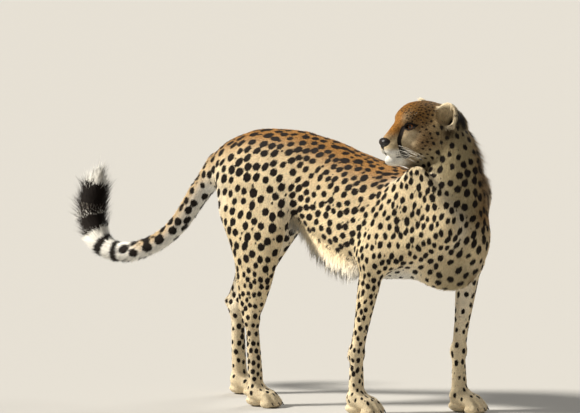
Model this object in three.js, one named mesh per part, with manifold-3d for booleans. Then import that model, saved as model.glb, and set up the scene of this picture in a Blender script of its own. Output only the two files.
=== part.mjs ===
// Cheetah standing on all fours, head turned back over its right shoulder.
// Millimetres, +X forward, +Y left, +Z up, floor at Z = 0.
// The body is one implicit surface built from named bones and muscles.
// It is meshed piece by piece and parted with thin cuts.
import * as THREE from "three";
import { mergeVertices } from "three/addons/utils/BufferGeometryUtils.js";
import Module from "manifold-3d";

const wasm = await Module();
wasm.setup();
const { Manifold } = wasm;

const GAP = 0.3; // between neighbouring pieces
const SHIFT = [182.64, 1.12, 0]; // from the body's own frame to the middle of its box on the floor

// ---------- vectors ----------
const add = (a, b) => [a[0] + b[0], a[1] + b[1], a[2] + b[2]];
const sub = (a, b) => [a[0] - b[0], a[1] - b[1], a[2] - b[2]];
const mul = (a, k) => [a[0] * k, a[1] * k, a[2] * k];
const dot = (a, b) => a[0] * b[0] + a[1] * b[1] + a[2] * b[2];
const cross = (a, b) => [a[1] * b[2] - a[2] * b[1], a[2] * b[0] - a[0] * b[2], a[0] * b[1] - a[1] * b[0]];
const size = (a) => Math.sqrt(dot(a, a));
const unit = (a) => mul(a, 1 / size(a));
const mix = (a, b, t) => a + (b - a) * t;
const clamp = (v, lo, hi) => Math.min(hi, Math.max(lo, v));

// ---------- implicit shapes: negative inside ----------
function smin(a, b, k) {
  const h = Math.max(k - Math.abs(a - b), 0) / k;
  return Math.min(a, b) - h * h * k * 0.25;
}

function egg(x, y, z, rx, ry, rz) {
  const a = x / rx, b = y / ry, c = z / rz;
  const k0 = Math.sqrt(a * a + b * b + c * c);
  const k1 = Math.sqrt((a / rx) ** 2 + (b / ry) ** 2 + (c / rz) ** 2) + 1e-9;
  return (k0 * (k0 - 1)) / k1;
}
function ball(p, c, r) {
  const q = sub(p, c);
  return Array.isArray(r) ? egg(q[0], q[1], q[2], r[0], r[1], r[2]) : size(q) - r;
}
// Ellipse swept from a to b; ra and rb are depth and width, and width lies along Y.
function limb(p, a, b, ra, rb) {
  const axis = sub(b, a), length = size(axis), w = mul(axis, 1 / length);
  const v = unit(sub([0, 1, 0], mul(w, w[1]))), u = cross(v, w);
  const rel = sub(p, a), s = dot(rel, w), t = clamp(s / length, 0, 1);
  const ru = mix(ra[0], rb[0], t), rv = mix(ra[1], rb[1], t);
  return egg(dot(rel, u), dot(rel, v), s - t * length, ru, rv, 0.5 * (ru + rv));
}
// Smooth curve through rows of numbers, n steps a span.
function spline(rows, n) {
  const first = rows[0].map((v, i) => 2 * v - rows[1][i]);
  const last = rows.at(-1).map((v, i) => 2 * v - rows.at(-2)[i]);
  const P = [first, ...rows, last], out = [];
  for (let i = 1; i < P.length - 2; i++)
    for (let j = 0; j < n; j++) {
      const t = j / n;
      out.push(P[i].map((v, c) => {
        const a = P[i - 1][c], d = P[i + 1][c], e = P[i + 2][c];
        const square = 2 * a - 5 * v + 4 * d - e, cube = 3 * v - a - 3 * d + e;
        return 0.5 * (2 * v + (d - a) * t + square * t * t + cube * t ** 3);
      }));
    }
  out.push(rows.at(-1));
  return out;
}
// Ellipse carried along a fine curve of rows x, y, z, depth, width, measured at the nearest place on it.
function curve(rows, n) {
  const line = spline(rows, n);
  const tangent = line.map((_, i) => {
    const a = line[Math.max(i - 1, 0)], b = line[Math.min(i + 1, line.length - 1)];
    return unit([b[0] - a[0], b[1] - a[1], b[2] - a[2]]);
  });
  return { line, tangent };
}
function sweep(p, { line, tangent }) {
  let best = Infinity, at = 0, share = 0;
  for (let i = 0; i < line.length - 1; i++) {
    const a = line[i], b = line[i + 1];
    const ax = b[0] - a[0], ay = b[1] - a[1], az = b[2] - a[2];
    const rx = p[0] - a[0], ry = p[1] - a[1], rz = p[2] - a[2];
    const t = clamp((rx * ax + ry * ay + rz * az) / (ax * ax + ay * ay + az * az), 0, 1);
    const d = (rx - t * ax) ** 2 + (ry - t * ay) ** 2 + (rz - t * az) ** 2;
    if (d < best) (best = d), (at = i), (share = t);
  }
  const a = line[at], b = line[at + 1], A = tangent[at], B = tangent[at + 1];
  const w = unit([mix(A[0], B[0], share), mix(A[1], B[1], share), mix(A[2], B[2], share)]);
  const rel = [p[0] - mix(a[0], b[0], share), p[1] - mix(a[1], b[1], share), p[2] - mix(a[2], b[2], share)];
  const v = unit(sub([0, 1, 0], mul(w, w[1]))), u = cross(v, w);
  const ru = mix(a[3], b[3], share), rv = mix(a[4], b[4], share);
  return egg(dot(rel, u), dot(rel, v), dot(rel, w), ru, rv, 0.5 * (ru + rv));
}
// The row of a fine table at a place along its first column.
function along(table, s) {
  const n = table.length;
  if (s <= table[0][0]) return table[0];
  if (s >= table[n - 1][0]) return table[n - 1];
  let lo = 0, hi = n - 1;
  while (hi - lo > 1) {
    const m = (lo + hi) >> 1;
    if (table[m][0] <= s) lo = m;
    else hi = m;
  }
  const t = (s - table[lo][0]) / (table[hi][0] - table[lo][0]);
  return table[lo].map((v, i) => mix(v, table[hi][i], t));
}
// Upright column: level ellipses, rows z, x, y, depth, width.
function column(p, table) {
  const [z, x, y, depth, width] = along(table, p[2]);
  return egg(p[0] - x, p[1] - y, p[2] - z, depth, width, 0.5 * (depth + width));
}

// ---------- trunk: rows x, top, underside, half width ----------
const TRUNK = spline([
  [-366, 642, 552, 34], [-330, 678, 512, 62], [-280, 701, 490, 78], [-224, 715, 482, 84],
  [-120, 715, 458, 78], [-60, 704, 392, 76], [0, 689, 352, 84], [60, 667, 338, 93],
  [150, 641, 338, 98], [240, 620, 343, 92], [320, 592, 352, 78], [362, 562, 364, 62],
  [388, 528, 388, 42],
], 6);
function trunk(p) {
  const [x, top, under, half] = along(TRUNK, p[0]);
  const middle = 0.5 * (top + under), high = 0.5 * (top - under);
  const wide = half * (1 + 0.08 * clamp((p[2] - middle) / high, -1.2, 1.2));
  return egg(p[2] - middle, p[1], p[0] - x, high, wide, 0.33 * (half + high));
}

// ---------- neck and breast: rows z, x, y, depth, width ----------
const NECK = spline([
  [395, 318, 0, 84, 58], [455, 318, 0, 98, 66], [520, 322, 0, 95, 70], [572, 328, 4, 87, 74],
  [620, 330, 8, 79, 74], [665, 329, 11, 71, 70], [705, 322, 11, 61, 64], [738, 308, 7, 55, 60],
], 6);
const neck = (p) => column(p, NECK);

// ---------- feet and legs; y counts outwards from the middle of the body ----------
const TOES = [[-24, 0], [-8.6, 12], [8.6, 12], [24, 0]]; // across, ahead
function toeLine(k, [across, ahead], s) {
  return [
    [k[0] + (10 + ahead * 0.5) * s, k[1] + across * 0.8 * s, 38 * s, 15 * s, 11.5 * s],
    [k[0] + (36 + ahead) * s, k[1] + across * s, 30 * s, 14.5 * s, 11 * s],
    [k[0] + (54 + ahead) * s, k[1] + across * 1.06 * s, 14 * s, 12.5 * s, 10.5 * s],
  ];
}
function paw(k, s) {
  const toes = TOES.map((t) => ({ curve: curve(toeLine(k, t, s), 2), tip: toeLine(k, t, s)[2] }));
  return (q) => {
    let d = ball(q, add(k, [2, 0, -6]), [27 * s, 29 * s, 25 * s]);
    d = smin(d, ball(q, [k[0] + 2, k[1], 15], [32 * s, 27 * s, 17 * s]), 10);
    for (const { curve, tip } of toes) {
      const sole = ball(q, [tip[0] - 10 * s, tip[1], 10], [17 * s, 10.5 * s, 12 * s]);
      d = smin(d, smin(sweep(q, curve), sole, 6), 12);
    }
    return d;
  };
}
function foreleg({ side, blade, shoulder, elbow, carpus, knuckle }) {
  const between = (t) => add(mul(elbow, 1 - t), mul(carpus, t));
  const forearm = curve([
    [...add(elbow, [2, 0, 10]), 38, 28], [...between(0.28), 32, 25],
    [...between(0.7), 22, 20], [...carpus, 19, 20],
  ], 3);
  const foot = paw(knuckle, FORE_PAW);
  return (p) => {
    const q = [p[0], p[1] * side, p[2]];
    const scapula = limb(q, blade, add(shoulder, [-6, 0, 10]), [36, 15], [42, 26]);
    const lower = add(add(mul(elbow, 0.35), mul(shoulder, 0.65)), [-20, 0, 20]);
    const flat = limb(q, add(blade, [-34, -6, -30]), lower, [36, 16], [44, 26]);
    const arm = limb(q, shoulder, elbow, [40, 30], [38, 29]);
    const triceps = limb(q, add(blade, [-40, 0, -90]), add(elbow, [-2, 0, 14]), [50, 22], [36, 26]);
    let d = smin(smin(scapula, flat, 24), arm, 30);
    d = smin(d, triceps, 28);
    d = smin(d, smin(sweep(q, forearm), ball(q, add(elbow, [-26, 0, 8]), [15, 13, 18]), 14), 22);
    const pad = ball(q, add(carpus, [-16, 3, -12]), [9, 8, 11]);
    d = smin(d, smin(ball(q, carpus, [21, 21, 24]), pad, 8), 12);
    d = smin(d, limb(q, carpus, add(knuckle, [0, 0, 2]), [17.5, 19], [20, 25]), 10);
    return smin(d, foot(q), 14);
  };
}
// Hind leg from the thigh down to the hock: rows z, y, depth, width.
const THIGH = [
  [560, 52, 114, 38], [505, 66, 110, 38], [454, 78, 92, 37], [409, 84, 75, 34],
  [370, 87, 63, 31], [316, 88, 52, 27], [264, 88, 34, 22], [228, 88, 21, 18],
];
function hindleg({ side, centres, heel, knuckle }) {
  const rows = THIGH.map(([z, y, depth, width], i) => [z, centres[i], y, depth, width]);
  const table = spline(rows, 5).reverse();
  const hock = [centres[7], 88, 228], calf = [centres[5] - 28, 88, 318], foot = paw(knuckle, HIND_PAW);
  return (p) => {
    const q = [p[0], p[1] * side, p[2]];
    let d = column(q, table);
    d = smin(d, limb(q, calf, heel, [18, 12], [12, 12]), 18);
    d = smin(d, limb(q, heel, add(hock, [-2, 0, -12]), [13, 13], [20, 18]), 10);
    d = smin(d, ball(q, hock, [22, 20, 25]), 10);
    d = smin(d, limb(q, hock, add(knuckle, [0, 0, 2]), [18.5, 18], [19, 24]), 10);
    return smin(d, foot(q), 14);
  };
}
const FORE_PAW = 1, HIND_PAW = 0.94;
const RIGHT_FORE = {
  side: -1, blade: [262, 84, 620], shoulder: [350, 72, 490],
  elbow: [144, 84, 396], carpus: [97, 86, 158], knuckle: [97, 88, 44],
};
const LEFT_FORE = {
  side: 1, blade: [262, 72, 618], shoulder: [360, 62, 556],
  elbow: [334, 82, 396], carpus: [302, 84, 158], knuckle: [304, 86, 44],
};
const RIGHT_HIND = {
  side: -1, centres: [-222, -216, -208, -203, -202, -206, -208, -213],
  heel: [-238, 88, 258], knuckle: [-200, 88, 42],
};
const LEFT_HIND = {
  side: 1, centres: [-222, -232, -246, -266, -284, -312, -338, -360],
  heel: [-384, 88, 244], knuckle: [-354, 88, 42],
};

// ---------- tail: rows x, y, z, depth, width ----------
const TAIL = [
  [-330, 0, 622, 42, 40], [-366, 0, 602, 37, 36], [-402, 0, 562, 33, 32], [-434, 0, 522, 30, 30],
  [-475, 0, 465, 27, 27], [-520, 0, 421, 26, 26], [-568, 0, 392, 25.5, 25.5], [-628, 0, 371, 26, 26],
  [-682, 0, 370, 28, 28], [-722, 0, 388, 32, 31], [-746, 0, 430, 38, 36], [-752, 0, 487, 46, 43],
  [-744, 0, 530, 42, 40], [-732, 0, 566, 24, 24], [-724, 0, 590, 7, 7],
];
const TAIL_CURVE = curve(TAIL, 4);
const tail = (p) => sweep(p, TAIL_CURVE);

// ---------- head, in its own frame: forward from the tip of the nose, left, up ----------
const NOSE_TIP = [185, -118, 705];
const HEADING = THREE.MathUtils.degToRad(235), PITCH = THREE.MathUtils.degToRad(-2);
const FORWARD = [Math.cos(HEADING) * Math.cos(PITCH), Math.sin(HEADING) * Math.cos(PITCH), Math.sin(PITCH)];
const LEFT = unit(cross([0, 0, 1], FORWARD));
const UP = cross(FORWARD, LEFT);
const inHead = (p) => { const r = sub(p, NOSE_TIP); return [dot(r, FORWARD), dot(r, LEFT), dot(r, UP)]; };
const fromHead = (h) => add(NOSE_TIP, add(mul(FORWARD, h[0]), add(mul(LEFT, h[1]), mul(UP, h[2]))));

const EYE = [-79, 27, 38], EYE_RADIUS = 15.5, GAZE = unit([0.86, 0.5, 0.04]);
const NEAR_EAR = { side: 1, middle: [-161, 57, 60], opening: [0.86, 0.5, 0.05], tip: [-0.05, 0.25, 0.95] };
const FAR_EAR = { side: -1, middle: [-143, 56, 63], opening: [0.9, 0.42, 0.05], tip: [0.15, 0.35, 0.95] };

function noseLeather(h) {
  const m = [h[0], Math.abs(h[1]), h[2]];
  let d = ball(h, [-8.5, 0, 1], [10.5, 15, 10.5]);
  d = smin(d, ball(m, [-9, 9, 1], [8.5, 7.5, 9]), 5);
  return smin(d, ball(h, [-8, 0, -10], [8, 5, 8]), 6);
}
function skull(h) {
  const m = [h[0], Math.abs(h[1]), h[2]];
  let d = ball(h, [-128, 0, 44], [66, 57, 56]);
  d = smin(d, ball(h, [-92, 0, 60], [36, 36, 34]), 20);
  d = smin(d, ball(m, [-74, 23, 57], [20, 17, 17]), 14);
  d = smin(d, ball(m, [-112, 40, -4], [42, 30, 36]), 26);
  d = smin(d, ball(m, [-150, 28, 8], [42, 44, 50]), 24);
  d = smin(d, limb(m, [-132, 34, -14], [-38, 9, -46], [26, 20], [16, 13]), 16);
  const bridge = limb(h, [-15, 0, 4], [-80, 0, 54], [12, 13], [26, 22]);
  const muzzle = limb(h, [-27, 0, -12], [-90, 0, 8], [21, 24], [44, 42]);
  d = smin(d, smin(bridge, muzzle, 18), 18);
  d = smin(d, ball(m, [-74, 28, 20], [22, 17, 16]), 14);
  d = smin(d, limb(h, [-70, 0, -42], [-165, 0, -80], [24, 24], [40, 38]), 20);
  const lip = ball(m, [-27, 14, -18], [21, 17, 18]);
  const chin = ball(h, [-29, 0, -48], [19, 16, 14]);
  d = smin(d, smin(lip, chin, 8), 9);
  return smin(d, ball(m, EYE, EYE_RADIUS + 2.2), 7);
}

// ---------- the whole body ----------
const legs = {
  fore_right: { shape: foreleg(RIGHT_FORE), low: [50, -125, -20], high: [400, -40, 670], blend: 44 },
  fore_left: { shape: foreleg(LEFT_FORE), low: [180, 35, -20], high: [425, 125, 670], blend: 44 },
  hind_right: { shape: hindleg(RIGHT_HIND), low: [-340, -130, -20], high: [-100, -10, 670], blend: 34 },
  hind_left: { shape: hindleg(LEFT_HIND), low: [-405, 10, -20], high: [-100, 130, 670], blend: 34 },
};
const TAIL_BOX = { shape: tail, low: [-805, -50, 335], high: [-280, 50, 670], blend: 24 };
const NECK_BOX = { shape: neck, low: [215, -80, 330], high: [425, 90, 800], blend: 46 };
const inHeadShape = (p) => skull(inHead(p));
const HEAD_BOX = { shape: inHeadShape, low: [160, -160, 600], high: [390, 130, 840], blend: 26 };
const REACH = 60; // further than any blend, so a shape this far off need not be worked out
function from(part, p) {
  const out = Math.hypot(...[0, 1, 2].map((i) => Math.max(part.low[i] - p[i], p[i] - part.high[i], 0)));
  return out < REACH ? part.shape(p) : out + 5;
}
function torso(p) {
  let d = trunk(p);
  for (const part of [...Object.values(legs), TAIL_BOX]) d = smin(d, from(part, p), part.blend);
  return d;
}
function headAndNeck(p) {
  return smin(from(HEAD_BOX, p), from(NECK_BOX, p), HEAD_BOX.blend);
}
function torsoAndNeck(p) {
  return smin(torso(p), from(NECK_BOX, p), NECK_BOX.blend);
}
function body(p) {
  return Math.min(torsoAndNeck(p), headAndNeck(p));
}

// ---------- surfaces and solids ----------
// Closed surface where the shape equals grow.
// It has one corner in each cell of a grid that the surface crosses, moved onto the surface.
function surface(shape, low, high, step, grow = 0) {
  const n = [0, 1, 2].map((c) => Math.ceil((high[c] - low[c]) / step[c]) + 1);
  const place = (i, j, k) => [low[0] + i * step[0], low[1] + j * step[1], low[2] + k * step[2]];
  const key = (i, j, k) => (i * n[1] + j) * n[2] + k;
  const rim = (...at) => at.some((v, c) => v === 0 || v === n[c] - 1);
  const value = new Float64Array(n[0] * n[1] * n[2]);
  for (let i = 0; i < n[0]; i++)
    for (let j = 0; j < n[1]; j++)
      for (let k = 0; k < n[2]; k++) {
        const d = shape(place(i, j, k)) - grow;
        value[key(i, j, k)] = rim(i, j, k) ? Math.max(d, 1) : d;
      }
  const corners = [], cell = new Map(), index = [];
  for (let i = 0; i < n[0] - 1; i++)
    for (let j = 0; j < n[1] - 1; j++)
      for (let k = 0; k < n[2] - 1; k++) {
        let sum = [0, 0, 0], count = 0;
        for (const [from, to] of CELL_EDGES) {
          const a = value[key(i + from[0], j + from[1], k + from[2])];
          const b = value[key(i + to[0], j + to[1], k + to[2])];
          if (a < 0 === b < 0) continue;
          const t = a / (a - b);
          sum = add(sum, place(...[i, j, k].map((v, c) => v + mix(from[c], to[c], t))));
          count++;
        }
        if (!count) continue;
        const inner = [i, j, k].every((v, c) => v > 0 && v < n[c] - 2);
        const middle = mul(sum, 1 / count);
        cell.set(key(i, j, k), corners.length);
        corners.push(inner ? onto(shape, middle, grow, Math.min(...step)) : middle);
      }
  for (let c = 0; c < 3; c++) {
    const u = (c + 1) % 3, v = (c + 2) % 3, g = [0, 0, 0];
    for (g[0] = 0; g[0] < n[0]; g[0]++)
      for (g[1] = 0; g[1] < n[1]; g[1]++)
        for (g[2] = 0; g[2] < n[2]; g[2]++) {
          if (g[c] === n[c] - 1 || !g[u] || !g[v] || g[u] === n[u] - 1 || g[v] === n[v] - 1) continue;
          const next = [...g];
          next[c]++;
          const inside = value[key(...g)] < 0;
          if (inside === value[key(...next)] < 0) continue;
          const quad = [[-1, -1], [0, -1], [0, 0], [-1, 0]].map(([du, dv]) => {
            const at = [...g];
            at[u] += du;
            at[v] += dv;
            return cell.get(key(...at));
          });
          if (!inside) quad.reverse();
          const [a, b, d, e] = quad, far = (p, q) => size(sub(corners[p], corners[q]));
          index.push(...(far(a, d) < far(b, e) ? [a, b, d, a, d, e] : [a, b, e, b, d, e]));
        }
  }
  const geometry = new THREE.BufferGeometry();
  geometry.setAttribute("position", new THREE.Float32BufferAttribute(corners.flat(), 3));
  return geometry.setIndex(index);
}
const CELL_CORNERS = [0, 1, 2, 3, 4, 5, 6, 7].map((v) => [v & 1, (v >> 1) & 1, v >> 2]);
const CELL_EDGES = CELL_CORNERS.flatMap((from) =>
  [0, 1, 2].filter((c) => !from[c]).map((c) => [from, from.map((v, i) => (i === c ? 1 : v))]));
// The nearest place on a surface, found by steps along the slope.
function onto(shape, p, grow, most) {
  const start = p, h = 0.5;
  for (let i = 0; i < 4; i++) {
    const d = shape(p) - grow;
    const slope = [0, 1, 2].map((c) => (shape(p.map((v, j) => (j === c ? v + h : v))) - grow - d) / h);
    p = sub(p, mul(slope, d / Math.max(dot(slope, slope), 0.1)));
  }
  return size(sub(p, start)) < most ? p : start;
}
const MOST_TURN = 0.5; // cosine a face may turn by when a corner moves
const LEAST_AREA = 0.08; // doubled area of a face against the square of its longest side
const THINNING_SHARES = [0.2, 0.4, 0.6, 0.8, 1, 1]; // of the allowed distance, pass by pass
// Fewer triangles.
// A corner is drawn into its neighbour where that stays within flat of every face it has stood for.
function thinned(geometry, flat) {
  const v = geometry.attributes.position.array, index = geometry.index.array;
  const corner = Array.from({ length: v.length / 3 }, (_, i) => [...v.subarray(3 * i, 3 * i + 3)]);
  const faces = Array.from({ length: index.length / 3 }, (_, i) => [...index.subarray(3 * i, 3 * i + 3)]);
  const normalOf = ([a, b, c]) => cross(sub(corner[b], corner[a]), sub(corner[c], corner[a]));
  const round = corner.map(() => new Set()), planes = corner.map(() => []);
  faces.forEach((face, f) => {
    const n = unit(normalOf(face)), away = dot(n, corner[face[0]]);
    for (const c of face) round[c].add(f), planes[c].push([...n, away]);
  });
  const neighbours = (u) => new Set([...round[u]].flatMap((f) => faces[f].filter((c) => c !== u)));
  const strays = (u, to) => Math.max(...planes[u].map((q) => Math.abs(dot(q, to) - q[3])));
  function mayMerge(u, to, near) {
    if ([...neighbours(to)].filter((c) => near.has(c)).length !== 2) return false;
    return [...round[u]].every((f) => {
      if (faces[f].includes(to)) return true;
      const before = normalOf(faces[f]), after = normalOf(faces[f].map((c) => (c === u ? to : c)));
      const turned = dot(before, after) <= MOST_TURN * size(before) * size(after);
      return !turned && size(after) > LEAST_AREA * longest(faces[f], u, to) ** 2;
    });
  }
  function longest(face, u, to) {
    return Math.max(...face.filter((c) => c !== u).map((c) => size(sub(corner[c], corner[to]))));
  }
  for (const limit of THINNING_SHARES.map((share) => share * flat))
    for (let u = 0; u < corner.length; u++) {
      if (!round[u].size) continue;
      const near = neighbours(u);
      const best = [...near].map((to) => [strays(u, corner[to]), to]).sort((a, b) => a[0] - b[0])
        .find(([stray, to]) => stray < limit && mayMerge(u, to, near));
      if (!best) continue;
      for (const f of [...round[u]]) {
        if (faces[f].includes(best[1])) {
          for (const c of faces[f]) round[c].delete(f);
          faces[f] = null;
        } else {
          faces[f] = faces[f].map((c) => (c === u ? best[1] : c));
          round[best[1]].add(f);
        }
      }
      round[u].clear();
      planes[best[1]].push(...planes[u]);
    }
  return geometry.clone().setIndex(faces.filter(Boolean).flat());
}
function solidOf(geometry) {
  const g = geometry.clone();
  for (const name of Object.keys(g.attributes)) if (name !== "position") g.deleteAttribute(name);
  const m = mergeVertices(g, 1e-4);
  const vertProperties = new Float32Array(m.attributes.position.array);
  const triVerts = new Uint32Array(m.index.array);
  return new Manifold(new wasm.Mesh({ numProp: 3, vertProperties, triVerts }));
}
function geometryOf(solid) {
  const m = solid.getMesh(), n = m.numProp, v = new Float32Array(m.numVert * 3);
  for (let i = 0; i < m.numVert; i++) v.set(m.vertProperties.subarray(i * n, i * n + 3), i * 3);
  const g = new THREE.BufferGeometry().setAttribute("position", new THREE.BufferAttribute(v, 3));
  g.setIndex(new THREE.BufferAttribute(m.triVerts, 1));
  g.computeVertexNormals();
  return g;
}
// The part of a solid on the side of a plane that its normal points to, from a distance past the point.
function beyond(solid, point, normal, by = 0) {
  return solid.trimByPlane(unit(normal), dot(unit(normal), point) + by);
}
// A solid with every corner moved out along its normal.
function grown(solid, by) {
  const g = geometryOf(solid), v = g.attributes.position.array, normal = g.attributes.normal.array;
  for (let i = 0; i < v.length; i++) v[i] += normal[i] * by;
  return solidOf(g);
}
const largest = (solid) => solid.decompose().sort((a, b) => b.volume() - a.volume())[0];
// True when every edge joins two faces, with the corners rounded to a thousandth of a millimetre.
function sound(solid) {
  const m = solid.getMesh(), v = m.vertProperties, edges = new Map(), key = [];
  for (let i = 0; i < m.numVert; i++)
    key.push([0, 1, 2].map((c) => Math.round((v[i * m.numProp + c] + SHIFT[c]) * 1e3)).join());
  for (let i = 0; i < m.triVerts.length; i += 3)
    for (let j = 0; j < 3; j++) {
      const e = [key[m.triVerts[i + j]], key[m.triVerts[i + ((j + 1) % 3)]]].sort().join("/");
      edges.set(e, (edges.get(e) ?? 0) + 1);
    }
  return [...edges.values()].every((n) => n === 2);
}
const CREASE = 0.08; // details under this are dropped from a solid
const FINEST_SHARE = 0.6, SHARE_STEP = 0.97;
// The first sound solid that a maker gives, on a grid that gets a little finer each time.
function firstSound(make) {
  for (let share = 1; share > FINEST_SHARE; share *= SHARE_STEP) {
    try {
      const solid = largest(make(share)).simplify(CREASE);
      if (sound(solid)) return solid;
    } catch (error) {
      if (!String(error).includes("anifold")) throw error;
    }
  }
  throw new Error("no sound solid");
}
const PLATE_STEPS = 7; // along each arc
// Outline round discs x, z, radius, joined two by two, pushed through from one y to the other.
function plate(discs, y0, y1, grow) {
  const low = Math.min(y0, y1) - grow, depth = Math.abs(y1 - y0) + 2 * grow;
  const spans = discs.slice(1).map((b, i) => {
    const a = discs[i], heading = Math.atan2(b[1] - a[1], b[0] - a[0]);
    const lean = Math.acos((a[2] - b[2]) / Math.hypot(b[0] - a[0], b[1] - a[1]));
    const outline = new THREE.Shape();
    outline.absarc(b[0], b[1], b[2] + grow, heading - lean, heading + lean, false);
    outline.absarc(a[0], a[1], a[2] + grow, heading + lean, heading - lean + 2 * Math.PI, false);
    const g = new THREE.ExtrudeGeometry(outline, { depth, curveSegments: PLATE_STEPS, bevelEnabled: false });
    return solidOf(g.rotateX(Math.PI / 2).translate(0, low + depth, 0));
  });
  return spans.reduce((all, one) => all.add(one));
}

const root = new THREE.Group();
const COLOUR = { fur: 0xd9a866, dark: 0x1c1714, amber: 0x8a5a1c };
function put(name, solid, colour, rough = 0.85) {
  const material = new THREE.MeshStandardMaterial({ color: colour, roughness: rough, metalness: 0 });
  const piece = new THREE.Mesh(geometryOf(solid.translate(SHIFT)), material);
  piece.name = name;
  root.add(piece);
}

// ---------- head ----------
// Cut from the neck by a sloping plane behind the jaw, then opened for the eyes and the nose.
const CUT_POINT = fromHead([-155, 0, -17]), CUT_NORMAL = add(mul(FORWARD, 0.55), mul(UP, 0.83));
const inRow = (h) => add(mul(FORWARD, h[0]), add(mul(LEFT, h[1]), mul(UP, h[2])));
const basis = (x, y, z, at) =>
  new THREE.Matrix4().makeBasis(...[x, y, z].map((v) => new THREE.Vector3(...v))).setPosition(...at);
const SIDES = [["left", 1], ["right", -1]];
const eyeMiddle = (side) => fromHead([EYE[0], EYE[1] * side, EYE[2]]);
function eyeball(side, radius) {
  return solidOf(new THREE.IcosahedronGeometry(radius, 1).translate(...eyeMiddle(side)));
}
// Almond-shaped way in to the eye, along its gaze.
const LID_HALF_WIDTH = 14, LID_HALF_HEIGHT = 8.5, LID_STEPS = 6, LID_REACH = 40;
function lidOpening(side) {
  const lid = (i, up) => {
    const a = mix(-LID_HALF_WIDTH, LID_HALF_WIDTH, i / LID_STEPS);
    return new THREE.Vector2(a, up * LID_HALF_HEIGHT * (1 - (a / LID_HALF_WIDTH) ** 2));
  };
  const lower = Array.from({ length: LID_STEPS }, (_, i) => lid(i, -1));
  const upper = Array.from({ length: LID_STEPS }, (_, i) => lid(LID_STEPS - i, 1));
  const outline = new THREE.Shape([...lower, ...upper]);
  const g = new THREE.ExtrudeGeometry(outline, { depth: LID_REACH, bevelEnabled: false });
  const gaze = [GAZE[0], GAZE[1] * side, GAZE[2]], across = unit(cross([0, 0, 1], gaze));
  const z = inRow(gaze), x = inRow(across);
  return solidOf(g.applyMatrix4(basis(x, cross(z, x), z, eyeMiddle(side))));
}
// Cup: an outer and an inner bowl with a rounded rim, turned about the way it opens.
const EAR_LENGTH = 35, EAR_WIDTH = 29, EAR_DEPTH = 25, EAR_WALL = 5, EAR_RIM = 1.5, EAR_SIDES = 14;
const EAR_STEPS = [0, 0.25, 0.5, 0.75, 1];
function earCup({ side, middle, opening, tip }) {
  const n = unit(opening), a = unit(sub(tip, mul(n, dot(tip, n)))), w = cross(a, n);
  const mirrored = (v) => inRow([v[0], v[1] * side, v[2]]);
  const bowl = (t, length, depth, lift) => {
    const turn = mix(-Math.PI / 2, 0.06, t);
    return new THREE.Vector2(t ? length * Math.cos(turn) : 0, lift + depth * Math.sin(turn));
  };
  const outside = EAR_STEPS.map((t) => bowl(t, EAR_LENGTH, EAR_DEPTH, 0));
  const inside = EAR_STEPS.map((t) => bowl(1 - t, EAR_LENGTH - EAR_WALL, EAR_DEPTH - EAR_RIM, 2 * EAR_RIM));
  const g = new THREE.LatheGeometry([...outside, ...inside], EAR_SIDES);
  g.scale(1, 1, EAR_WIDTH / EAR_LENGTH);
  const x = mirrored(a), y = mirrored(n), z = cross(x, y);
  return solidOf(g.applyMatrix4(basis(x, y, z, fromHead([middle[0], middle[1] * side, middle[2]]))));
}
const HEAD_LOW = [140, -175, 600], HEAD_HIGH = [405, 145, 860];
const NOSE_LOW = sub(NOSE_TIP, [12, 30, 30]), NOSE_HIGH = add(NOSE_TIP, [36, 38, 28]);
const cube = (side) => [side, side, side];
// A solid of a shape inside a box, on a grid of the given step and thinned to within flat.
function cast(shape, low, high, step, flat) {
  return solidOf(thinned(surface(shape, low, high, step), flat));
}
const noseShape = (p) => noseLeather(inHead(p));
const nose = firstSound((k) => cast(noseShape, NOSE_LOW, NOSE_HIGH, cube(4 * k), 0.9));
const sockets = SIDES.map(([, side]) => eyeball(side, EYE_RADIUS + 3 * GAP).add(lidOpening(side)));
const head = firstSound((k) => {
  const whole = cast(headAndNeck, HEAD_LOW, HEAD_HIGH, cube(8 * k), 2.2);
  const bare = beyond(whole, CUT_POINT, CUT_NORMAL, GAP).subtract(grown(nose, 2 * GAP));
  return bare.subtract(sockets[0]).subtract(sockets[1]);
});
put("head", head, COLOUR.fur);
put("nose", nose, COLOUR.dark, 0.4);
for (const [name, side] of SIDES) put("eye_" + name, eyeball(side, EYE_RADIUS), COLOUR.amber, 0.1);
const scalp = grown(head, 2 * GAP);
put("ear_left", largest(earCup(NEAR_EAR).subtract(scalp)).simplify(CREASE), COLOUR.fur);
put("ear_right", largest(earCup(FAR_EAR).subtract(scalp)).simplify(CREASE), COLOUR.fur);

// ---------- legs ----------
// Each leg's own region: discs x, z, radius down its length, and where it starts and ends across the body.
const LEG_REGIONS = {
  fore_right: [[[262, 622, 42], [352, 492, 52], [144, 396, 58], [97, 158, 60], [110, 20, 90]], -50, -160],
  fore_left: [[[262, 620, 42], [362, 552, 50], [334, 396, 58], [302, 158, 60], [318, 20, 90]], 50, 160],
  hind_right: [
    [[-232, 600, 92], [-212, 454, 108], [-205, 316, 80], [-213, 228, 60], [-190, 20, 95]], -44, -160,
  ],
  hind_left: [
    [[-232, 600, 92], [-252, 454, 104], [-315, 316, 80], [-360, 228, 60], [-340, 20, 95]], 44, 160,
  ],
};
const LEG_BOXES = {
  fore_right: [[20, -150], [440, -10]], fore_left: [[150, 10], [450, 150]],
  hind_right: [[-370, -150], [-60, -10]], hind_left: [[-440, 10], [-60, 150]],
};
const ANKLE = 150, KNEE = 300, WITHERS = 700; // where each leg is parted
const CELLS_OVER = 3.3; // cells that a leg's grid goes past its cuts
const FOOT = {
  fore_right: [RIGHT_FORE, FORE_PAW], fore_left: [LEFT_FORE, FORE_PAW],
  hind_right: [RIGHT_HIND, HIND_PAW], hind_left: [LEFT_HIND, HIND_PAW],
};
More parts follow.
